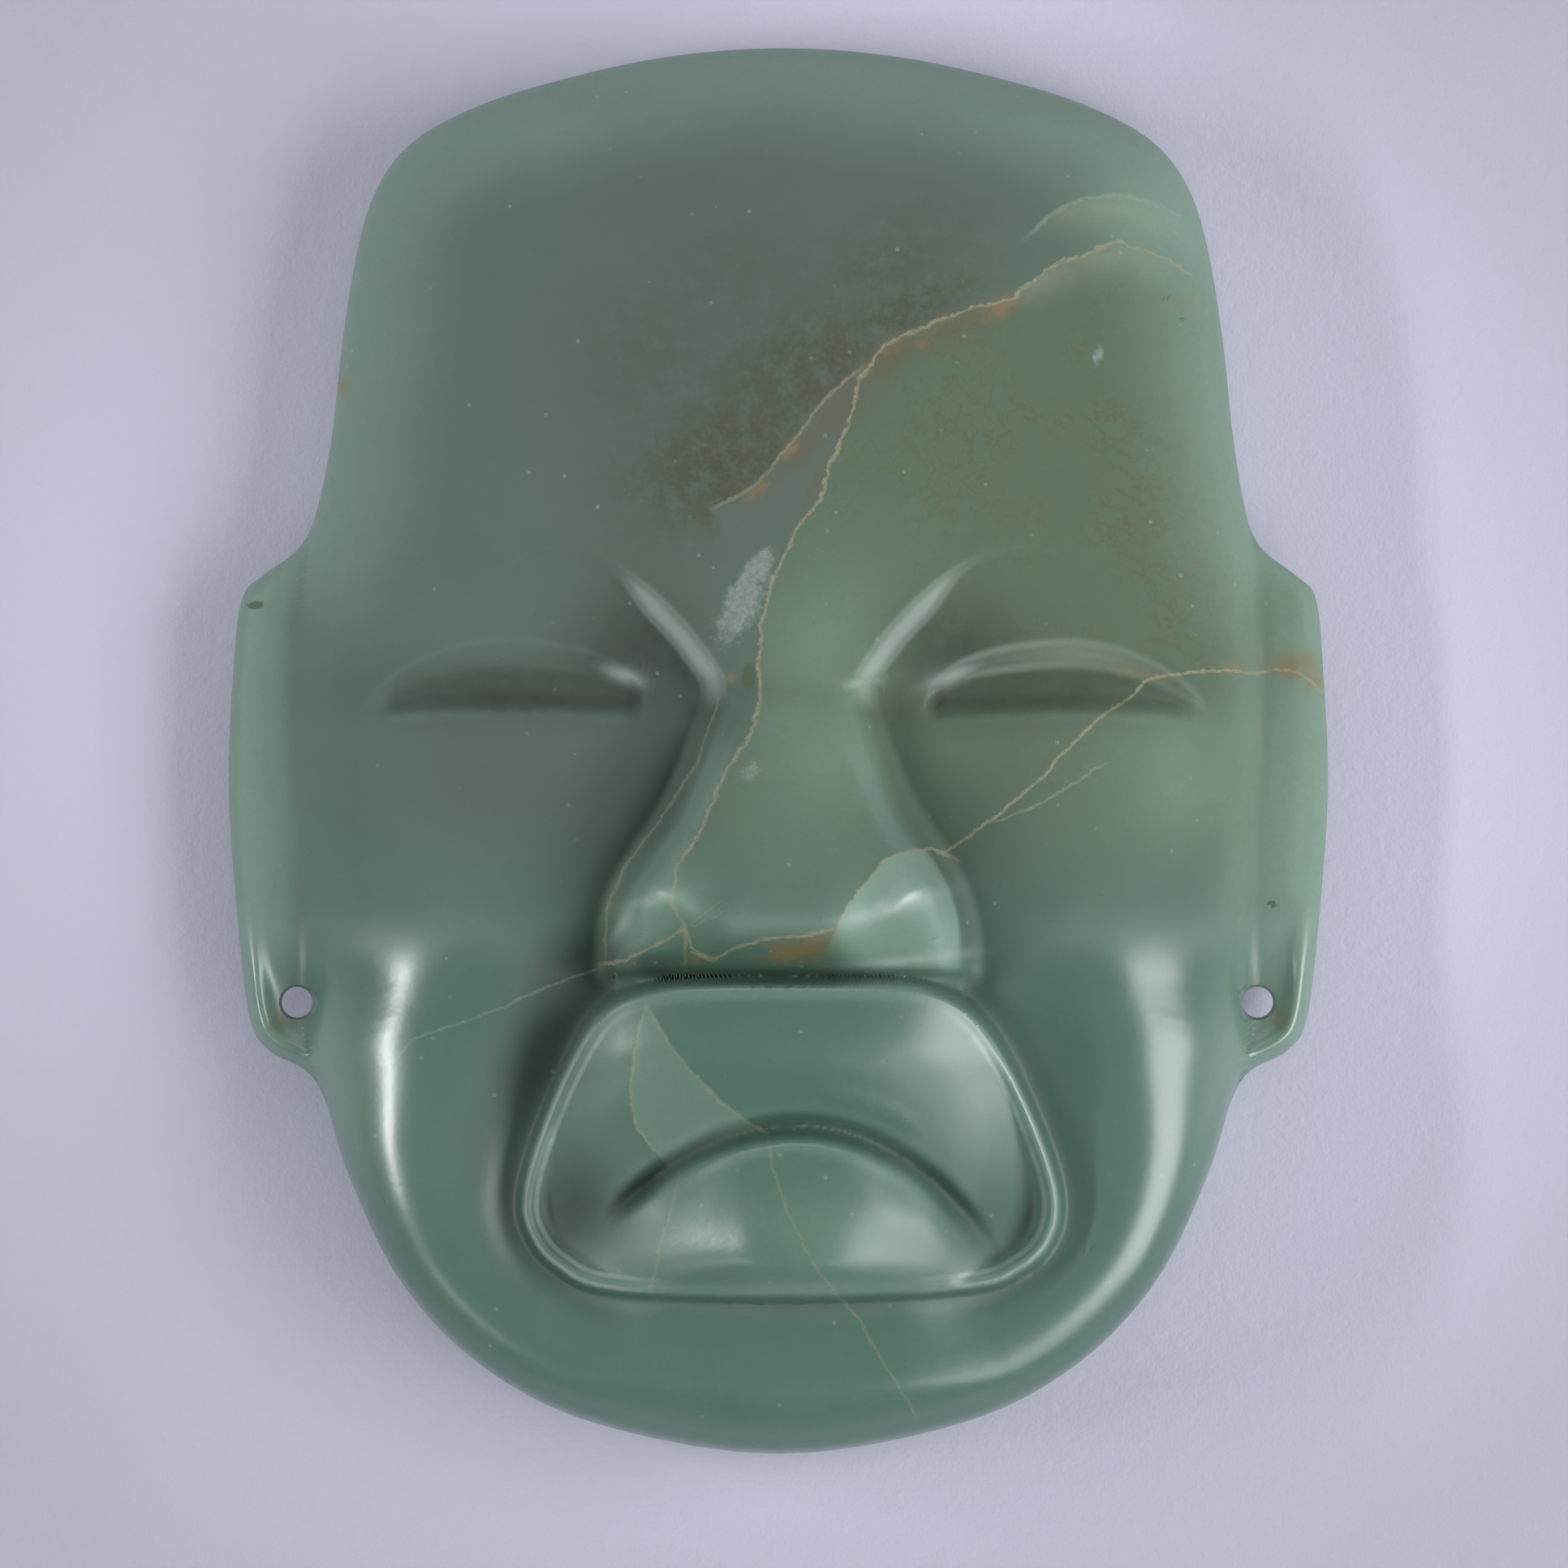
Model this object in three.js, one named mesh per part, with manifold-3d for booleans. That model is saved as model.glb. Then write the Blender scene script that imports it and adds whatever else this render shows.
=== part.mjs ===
import * as THREE from 'three';
import { mergeVertices } from 'three/addons/utils/BufferGeometryUtils.js';
import Module from 'manifold-3d';

// A carved jade face mask lying on its hollow back, in millimetres: +Z out of the face,
// +Y towards the forehead, +X to the viewer's right, the table at Z = 0.
const maskHeight = 160;
const maskWidth = 125;
const faceAxis = 1.2;      // the nose stands a little right of the middle
const mouthAxis = 1.6;
const headRim = 3;         // height of the widest line round the head
const earMiddle = 7.9;     // height of the widest line round the ears
const earTop = 10.4;
const earUnderside = 5.5;
const sideTurn = 1.1;      // the steep side of the head turns up within this
const boreRadius = 1.8;
const bores = [[-54.7, -28.6], [54.5, -28.6]];
const earFootLine = 49.8;  // the ears' undersides reach the table's level here, inside
const earNotch = 52.4;     // and are level from here out
const hollow = { halfWidth: 42, halfLength: 66, depth: 17, squareness: 2.5 };
const rings = 20;          // rings of facets from the middle of the face to its edge
const rimRefinement = 1.2;
const gridMiddle = [0, -15];
const facetTolerance = 0.36;
const shortestEdge = 1.1;
const refinements = 3;

const { clamp, lerp } = THREE.MathUtils;
const smooth = (from, to, value) => {
  const share = clamp((value - from) / (to - from), 0, 1);
  return share * share * (3 - 2 * share);
};
const bell = (distance, width) => Math.exp(-((distance / width) ** 2));
const softMax = (a, b, reach) => {
  const share = clamp(0.5 + (0.5 * (a - b)) / reach, 0, 1);
  return lerp(b, a, share) + reach * share * (1 - share);
};

// A smooth profile through [position, value] pairs, level beyond its ends.
function profile(pairs) {
  const slope = (i) => (pairs[i + 1][1] - pairs[i][1]) / (pairs[i + 1][0] - pairs[i][0]);
  const tangents = pairs.map((pair, i) => {
    if (i === 0 || i === pairs.length - 1) return 0;
    const [before, after] = [slope(i - 1), slope(i)];
    return before * after <= 0 ? 0 : (2 * before * after) / (before + after);
  });
  return (position) => {
    const last = pairs.length - 1;
    if (position <= pairs[0][0]) return pairs[0][1];
    if (position >= pairs[last][0]) return pairs[last][1];
    let i = 0;
    while (position > pairs[i + 1][0]) i++;
    const span = pairs[i + 1][0] - pairs[i][0];
    const t = (position - pairs[i][0]) / span;
    const rise = t * t * (3 - 2 * t);
    const lean = span * (tangents[i] * t * (1 - t) ** 2 - tangents[i + 1] * t * t * (1 - t));
    return lerp(pairs[i][1], pairs[i + 1][1], rise) + lean;
  };
}

function curveThrough(points, closed) {
  const spots = points.map(([x, y]) => new THREE.Vector3(x, y, 0));
  return new THREE.CatmullRomCurve3(spots, closed, 'catmullrom', 0.5);
}

// The right half of an outline, from the chin to the crown, with its mirror image.
function mirrored(half) {
  const left = half.filter(([x]) => x > 0).map(([x, y]) => [-x, y]).reverse();
  return [...half, ...left].map(([x, y]) => [x + 0.5 * smooth(10, 40, y), y]);
}

const jaw = [[0, -maskHeight / 2], [20.5, -76.6], [33.4, -70.2], [42.8, -60.6], [48.7, -48.7]];
const crown = [
  [51.4, 35.5], [50.2, 46.5], [48.4, 57.5], [46.2, 64.2], [42.4, 69.2],
  [36, 72.9], [27.6, 75.8], [14, 78.9], [0, maskHeight / 2],
];
const earEdge = [
  [51, -41.6], [53.4, -36.7], [57.9, -34.1], [60.1, -30.4], [61.5, -19], [maskWidth / 2, -4],
  [61.9, 10], [61, 17.4], [58.6, 20], [54.6, 23.2], [52.6, 28.4],
];
const temple = [[51.6, -39.6], [54.4, -30], [55.4, -8], [55.2, 14], [53.4, 25.6]];
const outline = curveThrough(mirrored([...jaw, ...earEdge, ...crown]), true);
const headEdge = curveThrough(mirrored([...jaw, ...temple, ...crown]), true);

const mouthEdge = curveThrough([
  [1.6, -26.1], [10, -26.1], [16.4, -26.6], [21.4, -29], [25.2, -34], [29, -41.8], [31.5, -49.6],
  [30.9, -54.8], [27.4, -58.5], [21, -60.6], [1.6, -61.4], [-18.4, -60.8], [-24.9, -58.2], [-28, -54.6],
  [-28.8, -50], [-26.6, -42.2], [-22.6, -33.4], [-18.8, -28.5], [-13, -26.5], [-6, -26.1],
], true);

// The parting of the lips, from its left end over the middle to its right end.
const parting = curveThrough([
  [-23, -56.5], [-18.2, -51.2], [-12, -46.6], [-5.4, -43.3], [2, -42], [9, -43.2], [15.4, -46.7],
  [20.8, -51.7], [25, -56.5],
], false);

// The fold that runs along the brow, over the bridge and down the side of the nose,
// by its distance from the face's axis.
const fold = curveThrough([
  [33, 20.4], [28.5, 22.4], [24, 22.5], [19.9, 21.2], [15.8, 18.4], [12, 14.7], [9.2, 11.2], [7.4, 8.2],
  [7.4, 5.2], [9.4, -0.5], [12.4, -7], [15.7, -12], [18, -16], [19.2, -20], [19.6, -24.6],
], false);

// Distance to a line, positive on the left of its travel.
function lineDistance(points) {
  return (x, y) => {
    let nearest = Infinity;
    let side = 1;
    for (let i = 0; i + 1 < points.length; i++) {
      const [a, b] = [points[i], points[i + 1]];
      const [dx, dy] = [b.x - a.x, b.y - a.y];
      const t = clamp(((x - a.x) * dx + (y - a.y) * dy) / (dx * dx + dy * dy), 0, 1);
      const [ex, ey] = [x - a.x - t * dx, y - a.y - t * dy];
      const distance = Math.hypot(ex, ey);
      if (distance < nearest) {
        nearest = distance;
        side = Math.sign(dx * ey - dy * ex);
      }
    }
    return side * nearest;
  };
}

const samplesPerCurve = 160;
const intoOutline = lineDistance(outline.getPoints(samplesPerCurve));
const intoHead = lineDistance(headEdge.getPoints(samplesPerCurve));
const leftOfMouthEdge = lineDistance(mouthEdge.getPoints(samplesPerCurve));
const intoMouth = (x, y) => -leftOfMouthEdge(x, y);
const leftOfParting = lineDistance(parting.getPoints(samplesPerCurve));
const belowParting = (x, y) => -leftOfParting(x, y);
const leftOfFold = lineDistance(fold.getPoints(samplesPerCurve));

const ridgeHeight = profile([
  [-80, 24], [-70, 26.2], [-60, 26.4], [-45, 26], [-20, 25.5], [5, 25.5],
  [25, 26.5], [42, 26], [58, 23.6], [70, 20.4], [80, 16.5],
]);
const fallToTheSides = profile([
  [-80, 3], [-45, 2.2], [-25, 3.6], [-10, 7.2], [5, 9], [30, 10], [60, 9.5], [80, 7],
]);
const edgeRoll = profile([
  [-80, 9.5], [-62, 8.5], [-53, 9], [-44, 11], [-34, 15], [-24, 19], [-15, 18], [-4, 12], [4, 9],
  [35, 7], [60, 6.5], [80, 6],
]);

const earShare = (x, y) => smooth(27, 22.5, y) * smooth(-40, -35.5, y) * smooth(44, 50, Math.abs(x));
const edgeHeight = (x, y) => lerp(headRim, earMiddle, earShare(x, y));

// The plain head: a shallow dome that rolls over into a steep side.
function headHeight(x, y, across) {
  const depth = Math.max(intoHead(x, y), 0);
  const dome = ridgeHeight(y) - fallToTheSides(y) * (across / 50) ** 2;
  const roll = Math.min(edgeRoll(y), dome - headRim);
  const turn = (radius) => Math.sqrt(1 - (1 - Math.min(depth / radius, 1)) ** 2);
  return headRim + (dome - headRim - roll) * turn(sideTurn) + roll * turn(roll);
}

const noseHalfWidth = profile([
  [-26, 19.6], [-20, 19], [-16, 17.9], [-12, 15.7], [-7, 12.4], [-0.5, 9.4], [5.2, 7.4], [9, 7.4],
]);

// The sockets and the hollows beside the nose, which stop at the fold: along the brow a bevel
// with two crisp edges, then a steeper fall.
function hollowDepth(x, y, across) {
  const socket = 4.4 * Math.exp(-(((across - 11.5) / 12.5) ** 2) - ((y - 9.5) / 11.5) ** 2);
  const beside = across - noseHalfWidth(y);
  const besideNose = 1.2 * bell(beside - 1, 9) + 2.2 * bell(beside - 0.5, 3.4);
  const depth = socket + besideNose * smooth(8, -4, y) * smooth(-32, -22, y);
  const fall = leftOfFold(across, y);
  const width = 0.5 + 2.3 * smooth(0.2, 1.9, socket);
  const bevelDepth = Math.min(depth, 0.5 * width);
  const wall = 0.45 * smooth(width - 0.2, width + 1.4, fall) + 0.55 * smooth(width - 0.2, width + 5, fall);
  const alongBrow = bevelDepth * clamp(fall / width, 0, 1) + (depth - bevelDepth) * wall;
  return lerp(depth * smooth(-1, 2.8, fall), alongBrow, smooth(4, 9, y));
}

const noseRise = profile([
  [-26, 12.4], [-21.5, 12.6], [-18, 12], [-12, 9.6], [-6, 6.6], [0, 3.6], [4, 1.6], [7, 0.3], [8.2, 0],
]);
function noseHeight(y, across) {
  const tip = -20.2 + 4.8 * smooth(6, 16, across);
  const under = smooth(-0.35, 1, (tip - y) / (tip + 24.6));
  const underTip = 1 - (0.32 + 0.14 * smooth(8, 14, across)) * under;
  const lipJoin = 0.6 * smooth(20, 14, across) * smooth(-40, -30, y);
  const end = 1 - smooth(0, 1, (-24.2 - y) / 1.6) * (1 - lipJoin);
  const share = across / noseHalfWidth(y);
  const wing = 2 * bell(across - 14.2, 3.6) * bell(y + 17, 5);
  const wingGroove = 0.8 * bell(across - 8.6, 2.2) * bell(y + 18, 5);
  const body = noseRise(y) * (1 - 0.3 * share ** 3) * underTip + wing - wingGroove;
  const sides = 1 - smooth(-2.6, 1.6, across - noseHalfWidth(y));
  const rootLine = 0.4 * bell(y - 7.2, 0.7) * (1 - smooth(5, 9, across));
  return body * sides * end - rootLine;
}

// The open mouth as a raised panel: the upper lip, the parting and the lower lip.
const mouthTilt = profile([
  [-62, 28.4], [-58, 29.3], [-54, 30], [-50, 31], [-44, 32.4], [-38, 33.8], [-32, 35], [-26, 35],
]);
const mouthRim = profile([
  [-62, 27.6], [-58, 27], [-54, 26.6], [-50, 26.9], [-42, 28.6], [-34, 31.6], [-28, 33.6],
]);
function mouthHeight(x, y, depth) {
  const across = Math.abs(x - mouthAxis);
  const below = belowParting(x, y);
  const upperLip = 2 * bell(y + 34, 7) * bell(across, 20);
  const partingEnds = smooth(-21.5, -13.5, x) * smooth(26, 17, x);
  const above = 0.55 * bell(below, 1) + 0.45 * Math.exp(-((Math.max(-below, 0) / 5) ** 1.3));
  const groove = below < 0 ? above : bell(below, 1.2);
  const fromLip = Math.abs(x - mouthAxis - 1);
  const lowerLip = 4.8 * bell(y + 52.5, 8) * Math.exp(-((fromLip / 13.4) ** 2.6)) * smooth(0.2, 2.6, below);
  const lipRidge = 0.25 * bell(below - 1.9, 0.6) * partingEnds * smooth(5, 9, fromLip);
  const corners = 2.6 * bell(across - 23.5, 6.5) * bell(y + 52, 7);
  const sides = smooth(-27, -33, y) * (1 - smooth(-54, -58, y) * (1 - smooth(10, 18, across)));
  const sideRoll = 0.8 * bell(depth - 2, 3.4) * sides * smooth(12, 20, across);
  const panel = mouthTilt(y) - 7 * (across / 28) ** 3 + upperLip - 3.6 * groove * partingEnds;
  const inner = panel + lowerLip + lipRidge - corners - sideRoll;
  const rim = mouthRim(y) + 0.25 * bell(depth - 1.2, 0.9);
  const atRim = sides * smooth(2.9, 0.9, depth) * smooth(9, 20, across);
  return lerp(inner, softMax(rim, inner, 0.9), atRim);
}
function mouthValley(y, across, depth) {
  const fading = 1 - 0.75 * smooth(-52, -62, y) * smooth(24, 12, across);
  const beside = Math.max(-depth - 1, 0);
  return (1.8 * bell(beside, 9.5) + bell(beside, 2.6)) * smooth(-16, -27, y) * fading;
}

const eyes = [[-30.9, 7.9], [32.4, 7.7]];
const eyeHalfWidth = 16;
const eyeDepth = 1.8;
function eyeCarving(x, y) {
  return eyes.reduce((sum, [middle, level]) => {
    const share = (x - middle) / eyeHalfWidth;
    const arch = clamp(1 - share ** 2, 0, 1);
    const fall = level - 2.9 + 7.4 * arch ** 0.8 - y;
    const rise = y - (level - 3.9 + 0.7 * arch);
    const lid = 2.6 * Math.max(arch, 0.05) ** 0.5;
    const bevel = 0.5 * clamp(fall / lid, 0, 1) + 0.62 * smooth(lid - 0.2, lid + 1.3, fall);
    return sum + eyeDepth * bevel * smooth(-0.5, 1.2, rise) * smooth(1, 0.8, Math.abs(share));
  }, 0);
}

// The ears: flat plates with a raised lip at the lower corner and a dish round each bore.
function earHeight(x, y) {
  const depth = intoOutline(x, y);
  const turn = clamp(depth / 1.8, 0, 1);
  const lip = 0.8 * bell(depth - 1.7, 1.1) * smooth(-16, -26, y);
  const [boreX, boreY] = bores[x < 0 ? 0 : 1];
  const dish = 1.1 * bell(Math.hypot(x - boreX, y - boreY), 3.4);
  return earMiddle + (earTop - earMiddle) * Math.sqrt(1 - (1 - turn) ** 2) + lip - dish;
}

function faceHeight(x, y) {
  const across = Math.abs(x - faceAxis);
  const depth = intoMouth(x, y);
  let height = headHeight(x, y, across) - hollowDepth(x, y, across);
  height += noseHeight(y, across) - mouthValley(y, across, depth) - eyeCarving(x, y);
  height = lerp(height, mouthHeight(x, y, depth), smooth(-1, 0.7, depth));
  const ear = earShare(x, y);
  return ear > 0 ? lerp(height, softMax(earHeight(x, y), height, 2.6), ear) : height;
}

// Where a point of the square facet grid, from -1 to 1 each way, lies in the outline:
// each square ring becomes a ring parallel to the outline.
function placeInOutline(a, b) {
  const ring = Math.max(Math.abs(a), Math.abs(b));
  const [middleX, middleY] = gridMiddle;
  if (ring === 0) return { x: middleX, y: middleY, ring };
  const [u, v] = [a / ring / 8, b / ring / 8];
  let share = u;
  if (a === ring) share = 1 / 4 + v;
  if (b === ring) share = 1 / 2 - u;
  if (a === -ring && b !== ring) share = 3 / 4 - v;
  if (b === -ring) share = u;
  const edge = outline.getPointAt((share + 1) % 1);
  const fraction = 1 - (1 - ring) ** rimRefinement;
  return { x: lerp(middleX, edge.x, fraction), y: lerp(middleY, edge.y, fraction), ring };
}

function frontSheet() {
  const grid = new THREE.PlaneGeometry(2, 2, 2 * rings, 2 * rings);
  const spots = grid.attributes.position;
  const whole = (value) => Math.round(value * rings) / rings;
  const points = Array.from({ length: spots.count }, (_, i) => {
    const { x, y, ring } = placeInOutline(whole(spots.getX(i)), whole(spots.getY(i)));
    const onRim = ring === 1;
    return { x, y, z: onRim ? edgeHeight(x, y) : faceHeight(x, y), onRim };
  });
  const corners = grid.index.array;
  let faces = Array.from({ length: corners.length / 3 }, (_, i) => [...corners.slice(3 * i, 3 * i + 3)]);
  turnDiagonals(points, faces);
  for (let round = 0; round < refinements; round++) {
    faces = halveEdges(points, faces);
    turnDiagonals(points, faces);
  }
  const sheet = new THREE.BufferGeometry();
  const positions = points.flatMap(({ x, y, z }) => [x, y, z]);
  sheet.setAttribute('position', new THREE.Float32BufferAttribute(positions, 3));
  sheet.setIndex(faces.flat());
  return sheet;
}

// How far the edge between two points passes over or under the carved face.
function missBetween(p, q) {
  if (p.onRim && q.onRim) return 0;
  const misses = [0.25, 0.5, 0.75].map((share) => {
    const carved = faceHeight(lerp(p.x, q.x, share), lerp(p.y, q.y, share));
    return Math.abs(carved - lerp(p.z, q.z, share));
  });
  return Math.max(...misses);
}

function middleOf(p, q) {
  const [x, y] = [(p.x + q.x) / 2, (p.y + q.y) / 2];
  return { x, y, z: faceHeight(x, y), onRim: false };
}

// Facets gather on the carving: an edge whose middle lies off the carved face is halved.
function halveEdges(points, faces) {
  const middles = new Map();
  const split = (a, b) => {
    const key = Math.min(a, b) * 1e6 + Math.max(a, b);
    if (!middles.has(key)) {
      const [p, q] = [points[a], points[b]];
      const long = Math.hypot(p.x - q.x, p.y - q.y) > shortestEdge;
      const halved = long && missBetween(p, q) > facetTolerance;
      middles.set(key, halved ? points.push(middleOf(p, q)) - 1 : -1);
    }
    return middles.get(key);
  };
  return faces.flatMap(([a, b, c]) => {
    const [ab, bc, ca] = [split(a, b), split(b, c), split(c, a)];
    const count = [ab, bc, ca].filter((middle) => middle >= 0).length;
    if (count === 0) return [[a, b, c]];
    if (count === 3) return [[a, ab, ca], [ab, b, bc], [ca, bc, c], [ab, bc, ca]];
    if (count === 1) {
      if (ab >= 0) return [[a, ab, c], [ab, b, c]];
      return bc >= 0 ? [[b, bc, a], [bc, c, a]] : [[c, ca, b], [ca, a, b]];
    }
    if (ca < 0) return [[ab, b, bc], [a, ab, bc], [a, bc, c]];
    if (ab < 0) return [[bc, c, ca], [b, bc, ca], [b, ca, a]];
    return [[ca, a, ab], [c, ca, ab], [c, ab, b]];
  });
}

// Two facets that share an edge are split the other way where that lies closer to the carving.
function turnDiagonals(points, faces) {
  const turn = (p, q, r) => (q.x - p.x) * (r.y - p.y) - (q.y - p.y) * (r.x - p.x);
  const owners = new Map();
  faces.forEach((face, i) => face.forEach((a, k) => owners.set(a * 1e6 + face[(k + 1) % 3], i)));
  const changed = new Set();
  for (const [key, one] of owners) {
    const [a, b] = [Math.floor(key / 1e6), key % 1e6];
    const other = owners.get(b * 1e6 + a);
    if (a > b || other === undefined || changed.has(one) || changed.has(other)) continue;
    const c = faces[one].find((corner) => corner !== a && corner !== b);
    const d = faces[other].find((corner) => corner !== a && corner !== b);
    const [pa, pb, pc, pd] = [a, b, c, d].map((corner) => points[corner]);
    const roomy = Math.min(turn(pa, pd, pc), turn(pd, pb, pc)) > 0.3 * shortestEdge ** 2;
    if (!roomy || (pc.onRim && pd.onRim)) continue;
    if (missBetween(pc, pd) + 0.02 < missBetween(pa, pb)) {
      faces[one] = [a, d, c];
      faces[other] = [d, b, c];
      changed.add(one).add(other);
    }
  }
}

// The back follows the same edge: a rounded heel round the head, the ears clear of the
// table, and a flat cap on the table that the hollow is cut from.
function backSheet() {
  const count = 8 * rings;
  const edge = Array.from({ length: count }, (_, i) => outline.getPointAt(i / count));
  const steps = [
    { inset: 1, limit: Infinity, head: headRim, ear: earMiddle },
    { inset: 0.984, limit: Infinity, head: 1, ear: 6.3 },
    { inset: 0.966, limit: earNotch, head: 0.2, ear: earUnderside },
    { inset: 0.945, limit: earFootLine, head: 0, ear: 0 },
  ];
  const positions = steps.flatMap(({ inset, limit, head, ear }) => edge.flatMap(({ x, y }) => {
    const scale = Math.min(inset, (limit - 1.2 * ((y + 6) / 32) ** 2) / Math.abs(x));
    return [x * scale, y * scale, lerp(head, ear, earShare(x, y))];
  }));
  const faces = [];
  for (let step = 0; step + 1 < steps.length; step++) {
    for (let i = 0; i < count; i++) {
      const next = (i + 1) % count;
      const [a, b] = [step * count + i, step * count + next];
      faces.push(a, a + count, b, b, a + count, b + count);
    }
  }
  const capStart = (steps.length - 1) * count;
  const cap = edge.map((_, i) => {
    const at = 3 * (capStart + i);
    return new THREE.Vector2(positions[at], positions[at + 1]);
  });
  for (const [a, b, c] of THREE.ShapeUtils.triangulateShape(cap, [])) {
    faces.push(capStart + a, capStart + c, capStart + b);
  }
  const sheet = new THREE.BufferGeometry();
  sheet.setAttribute('position', new THREE.Float32BufferAttribute(positions, 3));
  sheet.setIndex(faces);
  return sheet;
}

// The hollow: a dome between an ellipsoid and a box.
function hollowSolid() {
  const dome = new THREE.SphereGeometry(1, 40, 24);
  const spots = dome.attributes.position;
  const power = (value) => Math.abs(value) ** hollow.squareness;
  for (let i = 0; i < spots.count; i++) {
    const [x, y, z] = [spots.getX(i), spots.getY(i), spots.getZ(i)];
    const scale = (power(x) + power(y) + power(z)) ** (-1 / hollow.squareness);
    spots.setXYZ(i, x * scale * hollow.halfWidth, y * scale * hollow.halfLength, z * scale * hollow.depth);
  }
  return dome;
}

function boreSolid([x, y]) {
  const bore = new THREE.CylinderGeometry(boreRadius, boreRadius, 3 * earTop, 24);
  return bore.rotateX(Math.PI / 2).translate(x, y, earMiddle);
}

const wasm = await Module();
wasm.setup();

function solidOf(...sheets) {
  const positions = [];
  const faces = [];
  for (const sheet of sheets) {
    const offset = positions.length / 3;
    positions.push(...sheet.attributes.position.array);
    faces.push(...Array.from(sheet.index.array, (corner) => corner + offset));
  }
  const joined = new THREE.BufferGeometry();
  joined.setAttribute('position', new THREE.Float32BufferAttribute(positions, 3));
  joined.setIndex(faces);
  const merged = mergeVertices(joined, 1e-4);
  const triangles = [];
  for (let i = 0; i < merged.index.count; i += 3) {
    const [a, b, c] = merged.index.array.slice(i, i + 3);
    if (a !== b && b !== c && c !== a) triangles.push(a, b, c);
  }
  return new wasm.Manifold(new wasm.Mesh({
    numProp: 3,
    vertProperties: merged.attributes.position.array,
    triVerts: new Uint32Array(triangles),
  }));
}

function geometryOf(solid) {
  const { vertProperties, triVerts } = solid.getMesh();
  const geometry = new THREE.BufferGeometry();
  geometry.setAttribute('position', new THREE.BufferAttribute(vertProperties, 3));
  geometry.setIndex(new THREE.BufferAttribute(triVerts, 1));
  geometry.computeVertexNormals();
  return geometry;
}

let body = solidOf(frontSheet(), backSheet()).subtract(solidOf(hollowSolid()));
for (const place of bores) body = body.subtract(solidOf(boreSolid(place)));

const jade = new THREE.MeshStandardMaterial({ color: 0x64846f, roughness: 0.32, metalness: 0 });
const mask = new THREE.Mesh(geometryOf(body), jade);
mask.name = 'jade_mask';
const group = new THREE.Group();
group.add(mask);

export default group;
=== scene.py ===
import math

import bmesh
import bpy
import numpy as np
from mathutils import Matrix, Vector


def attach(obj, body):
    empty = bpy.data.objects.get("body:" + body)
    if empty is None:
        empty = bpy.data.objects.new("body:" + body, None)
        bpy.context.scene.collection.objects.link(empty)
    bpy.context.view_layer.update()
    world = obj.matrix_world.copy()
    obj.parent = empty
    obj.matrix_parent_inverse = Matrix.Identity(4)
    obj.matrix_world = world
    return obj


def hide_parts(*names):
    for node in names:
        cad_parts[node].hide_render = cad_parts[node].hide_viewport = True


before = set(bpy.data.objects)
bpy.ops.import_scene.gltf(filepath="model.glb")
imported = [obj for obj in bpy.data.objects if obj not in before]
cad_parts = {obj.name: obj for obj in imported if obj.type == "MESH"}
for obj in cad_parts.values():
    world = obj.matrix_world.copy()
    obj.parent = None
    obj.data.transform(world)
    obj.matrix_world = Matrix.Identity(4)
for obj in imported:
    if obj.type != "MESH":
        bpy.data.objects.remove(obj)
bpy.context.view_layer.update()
mm = 0.001
print("stage 1: the frame is loaded")


# the view from straight above
viewing = {
    "middle": (0.65, -3.8),    # mm, the point that the camera looks straight down on
    "level": 6.0,              # mm, where the frame is as wide as frameWidth
    "distance": 1500.0,
    "frameWidth": 178.5,
    "sensor": 36.0,
    "clip": (0.05, 20.0),      # metres, the nearest and farthest that the camera sees
}


def setCamera(view):
    data = bpy.data.cameras.new("overhead")
    data.sensor_width = view["sensor"]
    data.lens = view["sensor"] * view["distance"] / view["frameWidth"]
    data.clip_start, data.clip_end = view["clip"]
    camera = bpy.data.objects.new("overhead", data)
    middleX, middleY = view["middle"]
    camera.location = (middleX * mm, middleY * mm, (view["level"] + view["distance"]) * mm)
    bpy.context.scene.collection.objects.link(camera)
    bpy.context.scene.camera = camera


setCamera(viewing)
print("stage 2: the camera stands")


# small tools for curves and rounded steps, all in mm
def smooth(low, high, value):
    share = np.clip((value - low) / (high - low), 0, 1)
    return share * share * (3 - 2 * share)


def bell(distance, width):
    return np.exp(-((distance / width) ** 2))


def lerp(a, b, share):
    return a + (b - a) * share


def softMax(a, b, reach):
    share = np.clip(0.5 + 0.5 * (a - b) / reach, 0, 1)
    return lerp(b, a, share) + reach * share * (1 - share)


# a smooth profile through (position, value) pairs, level beyond its ends
def profile(pairs):
    places = np.array([pair[0] for pair in pairs], float)
    values = np.array([pair[1] for pair in pairs], float)
    slopes = np.diff(values) / np.diff(places)
    leans = np.zeros(len(pairs))
    for i in range(1, len(pairs) - 1):
        before, after = slopes[i - 1], slopes[i]
        leans[i] = 0 if before * after <= 0 else 2 * before * after / (before + after)

    def at(position):
        inside = np.clip(position, places[0], places[-1])
        i = np.clip(np.searchsorted(places, inside, side="left") - 1, 0, len(slopes) - 1)
        span = places[i + 1] - places[i]
        t = (inside - places[i]) / span
        bend = leans[i] * t * (1 - t) ** 2 - leans[i + 1] * t * t * (1 - t)
        return lerp(values[i], values[i + 1], t * t * (3 - 2 * t)) + span * bend
    return at


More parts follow.
